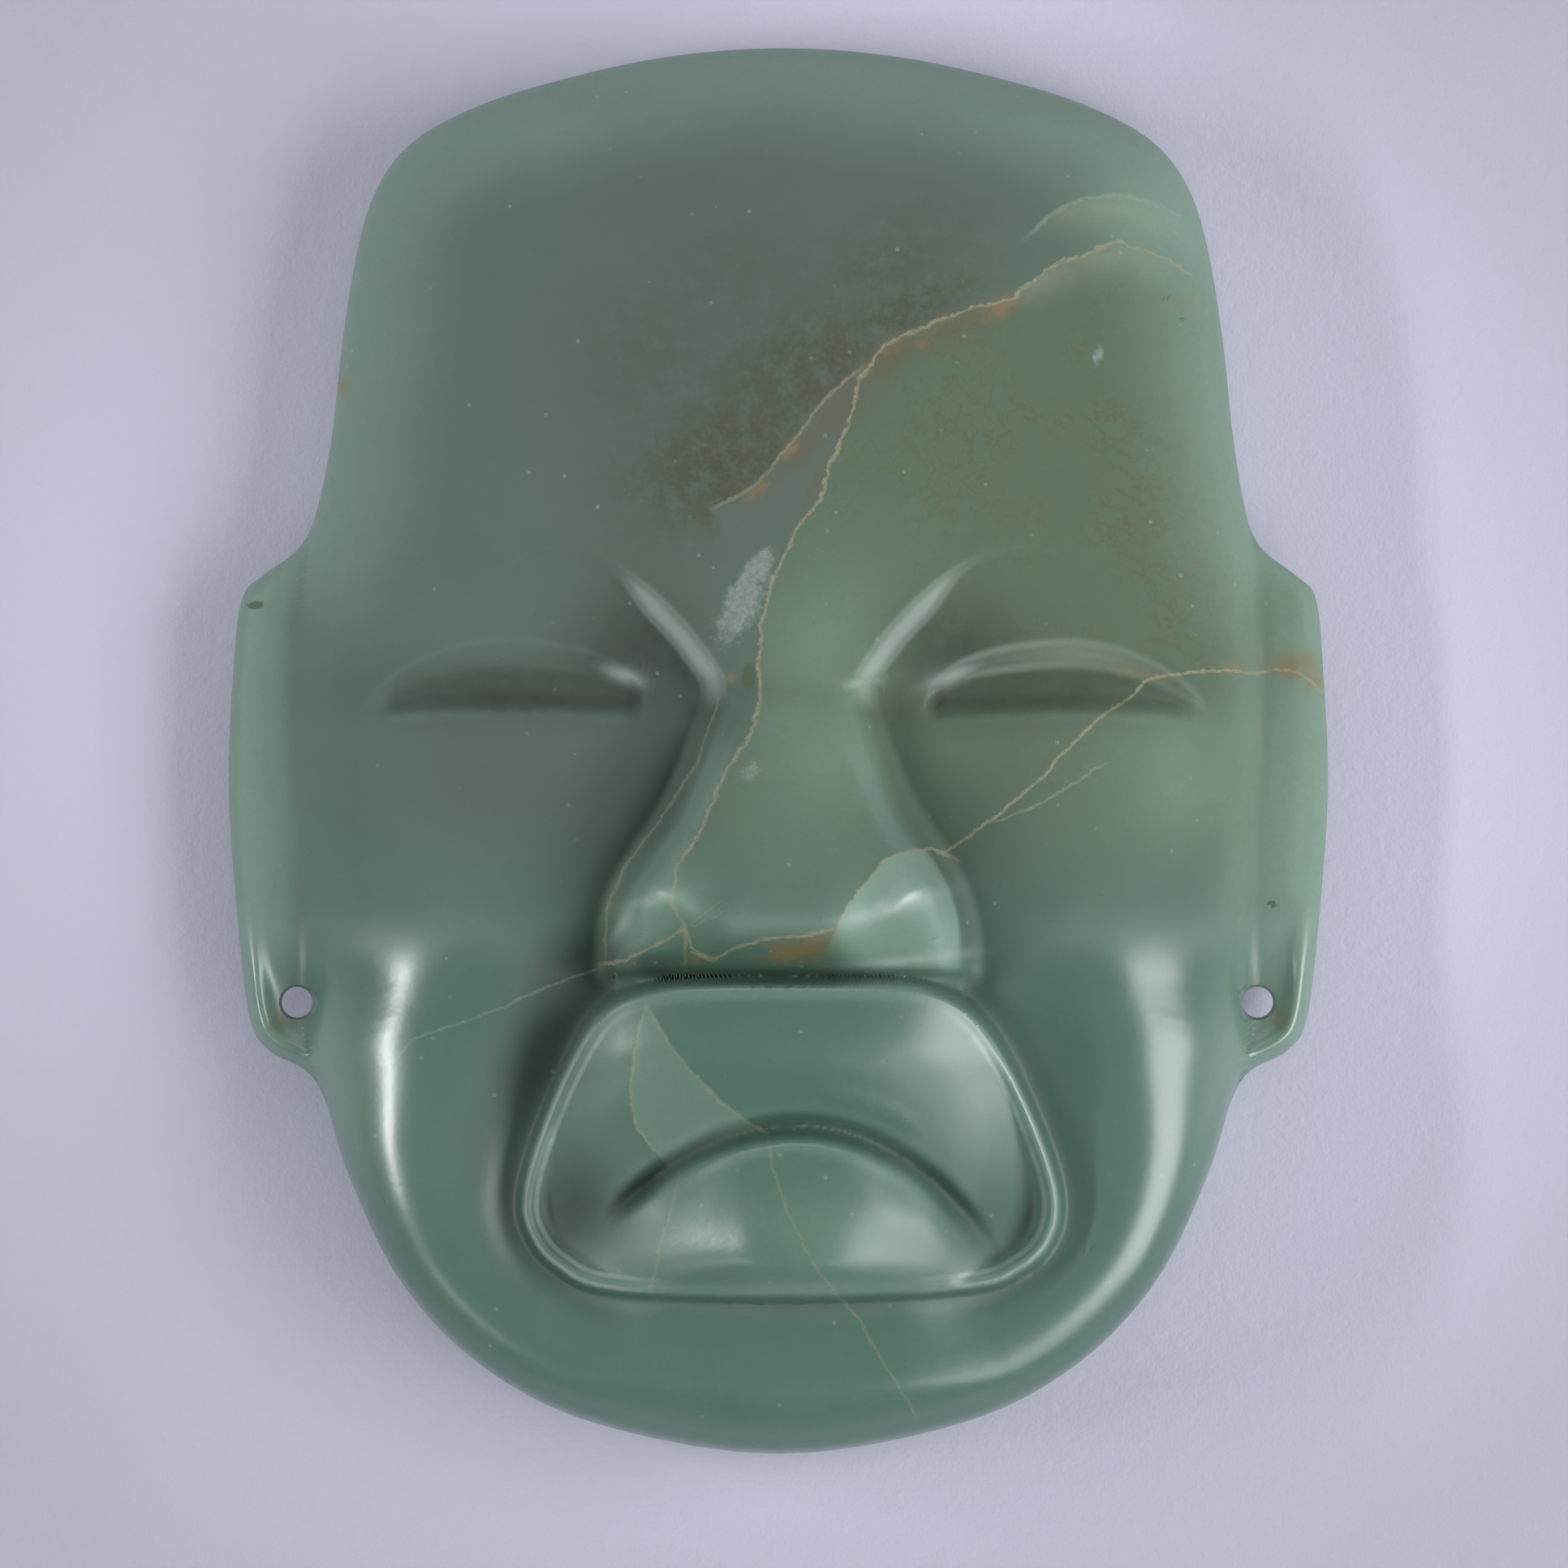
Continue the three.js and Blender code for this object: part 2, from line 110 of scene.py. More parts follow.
# points of a smooth curve at shares from 0 to 1
def curvePoints(points, closed, shares):
    spots = np.array(points, float)
    count = len(spots)
    place = np.asarray(shares, float) * (count if closed else count - 1)
    if closed:
        first = np.floor(place).astype(int)
        before, start, end, after = (spots[(first + step) % count] for step in (-1, 0, 1, 2))
    else:
        first = np.minimum(np.floor(place).astype(int), count - 2)
        padded = np.vstack([2 * spots[0] - spots[1], spots, 2 * spots[-1] - spots[-2]])
        before, start, end, after = (padded[first + step] for step in (0, 1, 2, 3))
    t = (place - first)[:, None]
    turn = 2 * before - 5 * start + 4 * end - after
    swing = 3 * start - before - 3 * end + after
    return 0.5 * (2 * start + (end - before) * t + turn * t ** 2 + swing * t ** 3)


# signed distance to a line, positive on the left of its travel, and how far along it the nearest point is
def lineField(points, x, y):
    nearest = np.full(x.shape, np.inf)
    side = np.ones(x.shape)
    along = np.zeros(x.shape)
    travelled = 0.0
    for (ax, ay), (bx, by) in zip(points[:-1], points[1:]):
        dx, dy = bx - ax, by - ay
        length = math.hypot(dx, dy)
        t = np.clip(((x - ax) * dx + (y - ay) * dy) / length ** 2, 0, 1)
        ex, ey = x - ax - t * dx, y - ay - t * dy
        distance = np.hypot(ex, ey)
        closer = distance < nearest
        nearest = np.where(closer, distance, nearest)
        side = np.where(closer, np.sign(dx * ey - dy * ex), side)
        along = np.where(closer, travelled + t * length, along)
        travelled += length
    return side * nearest, along


def lineDistance(points):
    return lambda x, y: lineField(points, x, y)[0]


# the carved face, all in mm
carving = {
    "height": 160.0,
    "width": 125.0,
    "faceAxis": 1.2,           # the nose stands a little right of the middle
    "mouthAxis": 1.6,
    "headRim": 3.0,            # height of the widest line round the head
    "earMiddle": 7.9,          # height of the widest line round the ears
    "earTop": 10.4,
    "earUnderside": 5.5,
    "bores": [(-54.7, -28.6), (54.5, -28.6)],
    "boreWaist": 1.75,         # radius of each bore where it is narrowest
    "boreMouth": 2.15,
    "boreLevels": (3.0, 8.0, 13.0),        # where the cutter starts, is narrowest and ends
    "boreSides": 48,
    "earFootLine": 49.8,       # the ears' undersides reach the table's level here, inside
    "earNotch": 52.4,          # and are level from here out
    "hollow": (42.0, 66.0, 17.0),          # half width, half length and depth of the hollow behind
    "hollowSquareness": 2.5,
    "gridMiddle": (0.0, -15.0),            # the rings of both grids lie round this point
    "frontRings": 108,
    "crowding": 0.15,          # the front's rings crowd together near the rim, where the face turns down
    "detailReach": 2.6,        # facets this near a carved line are halved
    "backRings": 66,
    "hollowShare": 0.62,       # of the back's rings lie inside the hollow
    "backReach": 0.9985,       # the back's last ring stays just inside the outline
    "sharpFrom": 55.0,         # degrees, edges that turn more stay crisp
}


# the right half of an outline, from the chin to the crown, with its mirror image
def mirrored(half):
    left = [(-x, y) for x, y in half if x > 0][::-1]
    return [(x + 0.5 * float(smooth(10, 40, y)), y) for x, y in half + left]


halfHeight = carving["height"] / 2
jaw = [(0, -halfHeight), (20.5, -76.6), (33.4, -70.2), (42.8, -60.6), (48.7, -48.7)]
crown = [
    (51.4, 35.5), (50.2, 46.5), (48.4, 57.5), (46.2, 64.2), (42.4, 69.2),
    (36, 72.9), (27.6, 75.8), (14, 78.9), (0, halfHeight),
]
earEdge = [
    (51, -41.6), (53.4, -36.7), (57.9, -34.1), (60.1, -30.4), (61.5, -19), (carving["width"] / 2, -4),
    (61.9, 10), (61, 17.4), (58.6, 20), (54.6, 23.2), (52.6, 28.4),
]
temple = [(51.6, -39.6), (54.4, -30), (55.4, -8), (55.2, 14), (53.4, 25.6)]
outline = mirrored(jaw + earEdge + crown)
headEdge = mirrored(jaw + temple + crown)
mouthEdge = [
    (1.6, -26.1), (10, -26.1), (16.4, -26.6), (21.4, -29), (25.2, -34), (29, -41.8), (31.5, -49.6),
    (30.9, -54.8), (27.4, -58.5), (21, -60.6), (1.6, -61.4), (-18.4, -60.8), (-24.9, -58.2), (-28, -54.6),
    (-28.8, -50), (-26.6, -42.2), (-22.6, -33.4), (-18.8, -28.5), (-13, -26.5), (-6, -26.1),
]
# the parting of the lips, from its left end over the middle to its right end
parting = [
    (-23, -56.5), (-18.2, -51.2), (-12, -46.6), (-5.4, -43.3), (2, -42), (9, -43.2), (15.4, -46.7),
    (20.8, -51.7), (25, -56.5),
]
# the fold along the brow, over the bridge and down the side of the nose, by distance from the face's axis
fold = [
    (33, 20.4), (28.5, 22.4), (24, 22.5), (19.9, 21.2), (15.8, 18.4), (12, 14.7), (9.2, 11.2), (7.4, 8.2),
    (7.4, 5.2), (9.4, -0.5), (12.4, -7), (15.7, -12), (18, -16), (19.2, -20), (19.6, -24.6),
]

curveShares = np.linspace(0, 1, 161)
intoOutline = lineDistance(curvePoints(outline, True, curveShares))
intoHead = lineDistance(curvePoints(headEdge, True, curveShares))
leftOfMouthEdge = lineDistance(curvePoints(mouthEdge, True, curveShares))
leftOfParting = lineDistance(curvePoints(parting, False, curveShares))
leftOfFold = lineDistance(curvePoints(fold, False, curveShares))

ridgeHeight = profile([
    (-80, 24), (-70, 26.2), (-60, 26.4), (-45, 26), (-20, 25.5), (5, 25.5),
    (25, 26.5), (42, 26), (58, 23.6), (70, 20.4), (80, 16.5),
])
fallToTheSides = profile([
    (-80, 3), (-45, 2.2), (-25, 3.6), (-10, 7.2), (5, 9), (30, 10), (60, 9.5), (80, 7),
])
edgeRoll = profile([
    (-80, 9.5), (-62, 8.5), (-53, 9), (-44, 11), (-34, 15), (-24, 19), (-15, 18), (-4, 12), (4, 9),
    (35, 7), (60, 6.5), (80, 6),
])


def earShare(x, y):
    return smooth(27, 22.5, y) * smooth(-40, -35.5, y) * smooth(44, 50, np.abs(x))


def edgeHeight(x, y):
    return lerp(carving["headRim"], carving["earMiddle"], earShare(x, y))


# the plain head: a shallow dome that rolls over into a steep side
def headHeight(x, y, across):
    rim = carving["headRim"]
    depth = np.maximum(intoHead(x, y), 0)
    dome = ridgeHeight(y) - fallToTheSides(y) * (across / 50) ** 2
    roll = np.minimum(edgeRoll(y), dome - rim)

    def turn(radius):
        return np.sqrt(1 - (1 - np.minimum(depth / radius, 1)) ** 2)
    return rim + (dome - rim - roll) * turn(1.1) + roll * turn(roll)


noseHalfWidth = profile([
    (-26, 19.6), (-20, 19), (-16, 17.9), (-12, 15.7), (-7, 12.4), (-0.5, 9.4), (5.2, 7.4), (9, 7.4),
])


def socketDepth(y, across):
    return 4.4 * np.exp(-(((across - 11.5) / 12.5) ** 2) - ((y - 9.5) / 11.5) ** 2)


def browBevel(socket):
    return 0.4 + 2.2 * smooth(0.4, 3.2, socket)


# the sockets and the hollows beside the nose, which stop at the fold: along the brow a bevel with two
# crisp edges, then a steeper fall
def hollowDepth(x, y, across):
    socket = socketDepth(y, across)
    beside = across - noseHalfWidth(y)
    tight = 2.2 - smooth(0, 4, x)
    cheek = 1.2 * bell(beside - 1, 9) + tight * bell(beside - 0.5, 3.4)
    cheek = cheek * smooth(8, -4, y) * smooth(-32, -22, y)
    depth = socket + cheek
    fall = leftOfFold(across, y)
    width = browBevel(socket)
    bevelDepth = np.minimum(depth, 0.5 * width)
    wall = 0.45 * smooth(width - 0.2, width + 1.4, fall) + 0.55 * smooth(width - 0.2, width + 5, fall)
    alongBrow = bevelDepth * np.clip(fall / width, 0, 1) + (depth - bevelDepth) * wall
    return lerp(depth * smooth(-1, 2.8, fall), alongBrow, smooth(4, 9, y))


noseRise = profile([
    (-26, 12.4), (-21.5, 12.6), (-18, 12), (-12, 9.6), (-6, 6.6), (0, 3.6), (4, 1.6), (7, 0.3), (8.2, 0),
])


def noseHeight(y, across):
    tip = -20.2 + 4.8 * smooth(6, 16, across)
    under = smooth(-0.35, 1, (tip - y) / (tip + 24.6))
    underTip = 1 - (0.32 + 0.14 * smooth(8, 14, across)) * under
    lipJoin = 0.72 * smooth(21, 16, across) * smooth(-40, -30, y)
    end = 1 - smooth(0, 1, (-24.2 - y) / 1.6) * (1 - lipJoin)
    share = across / noseHalfWidth(y)
    wing = 2 * bell(across - 14.2, 3.6) * bell(y + 17, 5)
    wingGroove = 0.8 * bell(across - 8.6, 2.2) * bell(y + 18, 5)
    crest = 0.4 * bell(y - tip, 1.3) * smooth(7.5, 12, across) * smooth(19, 16.5, across)
    body = noseRise(y) * (1 - 0.3 * share ** 3) * underTip + wing - wingGroove + crest
    sides = 1 - smooth(-2.6, 1.6, across - noseHalfWidth(y))
    rootLine = 0.4 * bell(y - 7.2, 0.7) * (1 - smooth(5, 9, across))
    return body * sides * end - rootLine


# the open mouth as a raised panel: the upper lip, the parting and the lower lip
mouthTilt = profile([
    (-62, 28.4), (-58, 29.3), (-54, 30), (-50, 31), (-44, 32.4), (-38, 33.8), (-32, 35), (-26, 35),
])
mouthRim = profile([
    (-62, 27.6), (-58, 27), (-54, 26.6), (-50, 26.9), (-42, 28.6), (-34, 31.6), (-28, 33.6),
])


def mouthHeight(x, y, depth):
    across = np.abs(x - carving["mouthAxis"])
    below = -leftOfParting(x, y)
    upperLip = 2 * bell(y + 34, 7) * bell(across, 20)
    partingEnds = smooth(-21.5, -13.5, x) * smooth(26, 17, x)
    above = 0.55 * bell(below, 1.0) + 0.45 * np.exp(-((np.maximum(-below, 0) / 5) ** 1.3))
    groove = np.where(below < 0, above, bell(below, 1.2))
    fromLip = np.abs(x - carving["mouthAxis"] - 1)
    lipEdge = smooth(0.2, 2.6 + 2 * smooth(10, 18, fromLip), below)
    mound = bell(y + 56.5, np.where(y > -56.5, 8.6, 5.8))
    lipReach = 14.5 - 1.8 * smooth(0, -6, x)
    lowerLip = 5.3 * mound * np.exp(-((fromLip / lipReach) ** 2.3)) * lipEdge
    lipRidge = 0.22 * bell(below - 1.9, 0.6) * partingEnds * smooth(4, 8, fromLip) * smooth(16, 11, fromLip)
    secondArc = 0.22 * bell(below + 3.9, 0.7) * smooth(3, 7, x) * smooth(17, 13, x)
    corners = 1.4 * bell(across - 23.5, 6.5) * bell(y + 51, 7)
    sides = smooth(-27, -33, y) * (1 - smooth(-54, -58, y) * (1 - smooth(10, 18, across)))
    sideRoll = 0.4 * bell(depth - 2, 3.4) * sides * smooth(12, 20, across)
    bend = 7 - 1.8 * smooth(0, -10, x)
    panel = mouthTilt(y) - bend * (across / 28) ** 3 + upperLip - 3.6 * groove * partingEnds
    inner = panel + lowerLip + lipRidge + secondArc - corners - sideRoll
    rim = mouthRim(y) - 0.5 + 0.2 * bell(depth - 1.1, 0.7)
    return lerp(inner, softMax(rim, inner, 0.8), sides * smooth(3.4, 0.6, depth) * smooth(9, 20, across))


def mouthValley(y, across, depth):
    fading = 1 - 0.75 * smooth(-52, -62, y) * smooth(24, 12, across)
    beside = np.maximum(-depth - 1, 0)
    return (1.8 * bell(beside, 9.5) + 1.0 * bell(beside, 2.6)) * smooth(-16, -27, y) * fading


eyes = {
    "middles": [(-30.9, 7.9), (32.4, 7.7)],
    "halfWidth": 16.0,
    "depth": 1.8,
    "lid": 2.6,                # width of the lid's bevel over the middle of a slit
}


# the way along a slit, from -1 at its outer end to 1 at its inner one, its arch and its two edges
def eyeLines(x, middle, level):
    share = (x - middle) / eyes["halfWidth"] * -np.sign(middle)
    arch = np.clip(1 - share ** 2, 0, 1)
    blunt = smooth(-0.3, 0.7, share)
    return share, arch, level - 2.9 + 7.4 * arch ** (0.8 - 0.32 * blunt), level - 3.9 + 0.7 * arch


def lidWidth(arch):
    return eyes["lid"] * np.clip(arch, 0.05, 1) ** 0.5


def eyeCarving(x, y):
    total = np.zeros(x.shape)
    for middle, level in eyes["middles"]:
        share, arch, upperEdge, lowerEdge = eyeLines(x, middle, level)
        fall = upperEdge - y
        lid = lidWidth(arch)
        bevel = 0.5 * np.clip(fall / lid, 0, 1) + 0.6 * smooth(lid - 0.4, lid + 2, fall)
        recess = bevel * smooth(-0.8, 2, y - lowerEdge)
        total += eyes["depth"] * recess * smooth(1, 0.9, share) * smooth(-1, -0.75, share)
    return total


# the ears: flat plates with a raised lip at the lower corner and a dish round each bore
def earHeight(x, y):
    depth = intoOutline(x, y)
    turn = np.clip(depth / 1.8, 0, 1)
    lip = 0.8 * bell(depth - 1.7, 1.1) * smooth(-16, -26, y)
    dish = 0
    for boreX, boreY in carving["bores"]:
        dish = dish + 1.1 * bell(np.hypot(x - boreX, y - boreY), 3.4)
    rise = carving["earTop"] - carving["earMiddle"]
    return carving["earMiddle"] + rise * np.sqrt(1 - (1 - turn) ** 2) + lip - dish


def faceHeight(x, y):
    across = np.abs(x - carving["faceAxis"])
    depth = -leftOfMouthEdge(x, y)
    height = headHeight(x, y, across) - hollowDepth(x, y, across)
    height = height + noseHeight(y, across) - mouthValley(y, across, depth) - eyeCarving(x, y)
    height = lerp(height, mouthHeight(x, y, depth), smooth(-0.9, 0.5, depth))
    ear = earShare(x, y)
    return np.where(ear > 0, lerp(height, softMax(earHeight(x, y), height, 2.6), ear), height)


# the hollow behind, as a dome between an ellipsoid and a box; 0 on its edge, negative outside
def hollowHeight(x, y):
    halfWidth, halfLength, depth = carving["hollow"]
    power = carving["hollowSquareness"]
    room = 1 - (np.abs(x) / halfWidth) ** power - (np.abs(y) / halfLength) ** power
    return depth * np.maximum(room, 0) ** (1 / power)


# the flat back with its rounded heel and the ears' undersides clear of the table
def backHeight(x, y):
    depth = np.maximum(intoOutline(x, y), 0)

    def heel(radius):
        return radius * (1 - np.sqrt(1 - (1 - np.minimum(depth / radius, 1)) ** 2))
    bow = 1.2 * ((y + 6) / 32) ** 2
    foot = smooth(carving["earFootLine"] - bow, carving["earNotch"] - bow, np.abs(x))
    underside = carving["earUnderside"]
    ear = (underside + heel(carving["earMiddle"] - underside)) * foot
    return lerp(heel(carving["headRim"]), ear, earShare(x, y)) + hollowHeight(x, y)


# the mask's mesh is two grids laid in the outline and joined round the rim; these are evenly spaced
# points round the outline
def outlineAt(shares):
    even = np.linspace(0, 1, 2001)
    dense = curvePoints(outline, True, even)
    steps = np.hypot(*np.diff(dense, axis=0).T)
    travelled = np.concatenate([[0], np.cumsum(steps)])
    return curvePoints(outline, True, np.interp(np.mod(shares, 1) * travelled[-1], travelled, even))


# each square ring of the grid becomes a ring round the face's middle; gives the ring, from 0 to 1,
# and the outline's point on the same ray
def ringsOf(mesh, rings):
    spots = np.array([vertex.co[:2] for vertex in mesh.verts])
    a, b = np.rint(spots * rings).astype(int).T
    ring = np.maximum(np.abs(a), np.abs(b))
    whole = np.maximum(ring, 1)
    u, v = a / whole / 8, b / whole / 8
    share = np.where(a == ring, 1 / 4 + v, u)
    share = np.where(b == ring, 1 / 2 - u, share)
    share = np.where((a == -ring) & (b != ring), 3 / 4 - v, share)
    share = np.where(b == -ring, u, share)
    return ring / rings, outlineAt(share)


def newSheet(rings):
    sheet = bmesh.new()
    bmesh.ops.create_grid(sheet, x_segments=2 * rings, y_segments=2 * rings, size=1)
    sheet.verts.ensure_lookup_table()
    return sheet


def placeSheet(sheet, x, y, z):
    for vertex, spot in zip(sheet.verts, np.stack([x, y, z], axis=1) * mm):
        vertex.co = spot


# how far a point is from the nearest tight line of the carving
def fromCarvedLines(x, y):
    across = np.abs(x - carving["faceAxis"])
    nearest = np.minimum(np.abs(leftOfMouthEdge(x, y)), np.abs(leftOfParting(x, y)))
    nearest = np.minimum(nearest, np.abs(leftOfFold(across, y) - 1))
    noseFoot = np.hypot(np.maximum(across - 19, 0), y + 25)
    noseSide = np.where((y < 6) & (y > -26), np.abs(across - noseHalfWidth(y)), 99)
    nearest = np.minimum(np.minimum(nearest, noseFoot), noseSide)
    for middle, level in eyes["middles"]:
        share, _, upper, lower = eyeLines(x, middle, level)
        away = np.minimum(np.abs(y - upper), np.abs(y - lower))
        nearest = np.where(np.abs(share) < 1.05, np.minimum(nearest, away), nearest)
    return nearest


def frontSheet():
    rings = carving["frontRings"]
    sheet = newSheet(rings)
    ring, edge = ringsOf(sheet, rings)
    middle = np.array(carving["gridMiddle"])
    gap = 1 - ring
    crowding = carving["crowding"]
    gap = gap * (gap / (gap + crowding) * (1 + crowding)) ** 0.6
    x, y = (middle + (edge - middle) * (1 - gap)[:, None]).T
    placeSheet(sheet, x, y, np.zeros(x.shape))
    tight = fromCarvedLines(x, y) < carving["detailReach"]
    carved = [face for face in sheet.faces if all(tight[corner.index] for corner in face.verts)]
    fine = {side for face in carved for side in face.edges}
    bmesh.ops.subdivide_edges(sheet, edges=list(fine), cuts=1, use_grid_fill=True)
    sheet.verts.ensure_lookup_table()
    x, y = np.array([vertex.co[:2] for vertex in sheet.verts]).T / mm
    onRim = np.array([vertex.is_boundary for vertex in sheet.verts])
    placeSheet(sheet, x, y, np.where(onRim, edgeHeight(x, y), faceHeight(x, y)))
    return sheet


def backSheet():
    rings = carving["backRings"]
    sheet = newSheet(rings)
    ring, edge = ringsOf(sheet, rings)
    middle = np.array(carving["gridMiddle"])
    halfWidth, halfLength, _ = carving["hollow"]
    power = carving["hollowSquareness"]
    low, high = np.zeros(len(ring)), np.ones(len(ring))
    for _ in range(40):        # halves its way to the share of each ray at which it meets the hollow's edge
        half = (low + high) / 2
        x, y = (middle + (edge - middle) * half[:, None]).T
        inside = (np.abs(x) / halfWidth) ** power + (np.abs(y) / halfLength) ** power < 1
        low, high = np.where(inside, half, low), np.where(inside, high, half)
    wall = round(carving["hollowShare"] * rings) / rings
    inner = high * np.sin(np.minimum(ring / wall, 1) * math.pi / 2)
    rimGap = 1 - np.clip((ring - wall) / (1 - wall), 0, 1)
    outer = high + (carving["backReach"] - high) * (1 - rimGap ** 1.6)
    fraction = np.where(ring <= wall, inner, outer)
    x, y = (middle + (edge - middle) * fraction[:, None]).T
    z = np.where(np.abs(ring - wall) < 0.5 / rings, 0, backHeight(x, y))
    placeSheet(sheet, x, y, z)
    bmesh.ops.reverse_faces(sheet, faces=sheet.faces)
    return sheet


def boreCutter(x, y):
    waist, mouth = carving["boreWaist"] * mm, carving["boreMouth"] * mm
    low, middle, high = (level * mm for level in carving["boreLevels"])
    flare = mouth + (mouth - waist)
    cutter = bmesh.new()
    corners = [(0, low), (flare, low), (waist, middle), (flare, high), (0, high)]
    ring = [cutter.verts.new((radius, 0, height)) for radius, height in corners]
    sides = [cutter.edges.new(pair) for pair in zip(ring[:-1], ring[1:])]
    bmesh.ops.spin(cutter, geom=ring + sides, cent=(0, 0, 0), axis=(0, 0, 1), angle=math.tau,
                   steps=carving["boreSides"], use_merge=True)
    bmesh.ops.remove_doubles(cutter, verts=cutter.verts, dist=1e-6)
    bmesh.ops.recalc_face_normals(cutter, faces=cutter.faces)
    bmesh.ops.translate(cutter, verts=cutter.verts, vec=(x * mm, y * mm, 0))
    return objectOf("boreCutter", cutter)


def objectOf(name, mesh):
    data = bpy.data.meshes.new(name)
    mesh.to_mesh(data)
    mesh.free()
    made = bpy.data.objects.new(name, data)
    bpy.context.scene.collection.objects.link(made)
    return made


def carveMask():
    whole = frontSheet()
    print("stage 3: the face is carved")
    back = backSheet()
    spare = bpy.data.meshes.new("back")
    back.to_mesh(spare)
    back.free()
    whole.from_mesh(spare)
    bpy.data.meshes.remove(spare)
    rim = [edge for edge in whole.edges if edge.is_boundary]
    bmesh.ops.bridge_loops(whole, edges=rim)
    bmesh.ops.recalc_face_normals(whole, faces=whole.faces)
    mask = objectOf("mask", whole)
    for place in carving["bores"]:
        cutter = boreCutter(*place)
        drill = mask.modifiers.new("drill", "BOOLEAN")
        drill.operation = "DIFFERENCE"
        drill.solver = "EXACT"
        drill.object = cutter
        bpy.context.view_layer.objects.active = mask
        bpy.ops.object.modifier_apply(modifier=drill.name)
        bpy.data.objects.remove(cutter)
    made = mask.data
    made.shade_smooth()
    made.set_sharp_from_angle(angle=math.radians(carving["sharpFrom"]))
    print("stage 4: the mask has", len(made.vertices), "vertices and", len(made.polygons), "faces")
    return mask


mask = carveMask()


# the stone's seams: each runs through these points, in mm
seams = {
    "zone": [
        (47, 53.5), (43, 55.9), (38, 57.6), (34.3, 55.9), (30.6, 54.5), (26.4, 50.8), (22.3, 49.9),
        (16.7, 47.8), (12.1, 45.7), (9.3, 42), (7.9, 36.5), (6.1, 32.8), (4.7, 28.2), (2.4, 25.4),
        (1, 22.6), (-0.6, 18.9), (-1.8, 14.3), (-2.4, 9.7), (-2, 6), (-2.7, 2.3), (-5.5, -1.8),
        (-9.1, -9.7), (-11.3, -12.9), (-11.9, -17.1), (-10.5, -19.9), (-10.5, -24),
    ],
    "crackTail": [
        (9.3, 43), (6.6, 40.6), (4.2, 38.3), (2.4, 35.6), (0.1, 32.8), (-1.8, 30.5), (-5, 28.2),
        (-7.3, 27.3),
    ],
    "crownArc": [(27.8, 57.7), (30.6, 60.5), (34.3, 62.2), (38, 62.8), (42.6, 61.9), (45.8, 60.5)],
    "eyeSeam": [
        (62, 6.5), (59.2, 8.8), (56.4, 9.2), (53.7, 8.8), (50.2, 9.1), (46.7, 8.8), (43.5, 8.3),
        (41.2, 7.7), (39.8, 6), (37.5, 4.6), (34.3, 1.8), (31.5, -0.9), (29.7, -3.2), (27.8, -4.6),
        (24.6, -7.4), (21.3, -9.7), (18.6, -11.5),
    ],
    "eyeSecond": [(37, -1.4), (33.3, -3.7), (29.7, -6), (24.6, -8)],
    "noseLeft": [(-6.4, 6.5), (-9.1, -1.4), (-13.3, -7.9), (-17.5, -13.4), (-19.3, -18), (-19.5, -23.6)],
    "noseFoot": [
        (-19.8, -24), (-17, -23.6), (-14.7, -22.2), (-12.4, -21.2), (-10.5, -19.9), (-9.6, -22.4),
        (-7.3, -23.6), (-5, -22.2), (-1.8, -21.2), (2.4, -20.8), (5.2, -20.3), (6.6, -19.9),
    ],
    "wing": [
        (6.6, -19.9), (7.9, -17.1), (9.8, -14.8), (11.6, -12.5), (13.9, -11.4), (17.6, -11.1),
        (20.4, -12.5),
    ],
    "cheek": [
        (-20.2, -24.5), (-23.9, -25.9), (-27.6, -27.4), (-31.3, -29.1), (-35, -30.5), (-38.7, -31.7),
        (-41, -32.3), (-43.3, -35.1), (-46.1, -35.6),
    ],
    "lipLeft": [(-15, -29.1), (-16.1, -33.7), (-16.5, -38.3), (-15.8, -42.5), (-13.8, -45)],
    "lipRight": [
        (-14.2, -29.1), (-11.9, -33.3), (-9.1, -36.5), (-6.4, -39.3), (-4.1, -41.1), (-1.3, -43),
    ],
    "lowerLip": [
        (-1.3, -43), (-0.6, -46.7), (0.6, -50.3), (2.4, -54.5), (4.2, -57.7), (6.6, -61), (9.3, -64.2),
        (10.7, -67), (13, -70.7), (15.8, -75.3),
    ],
    "lowerShort": [(-11, -47.6), (-11.9, -51.3), (-13.3, -55.9), (-14.2, -60.5), (-13.3, -62.4)],
}

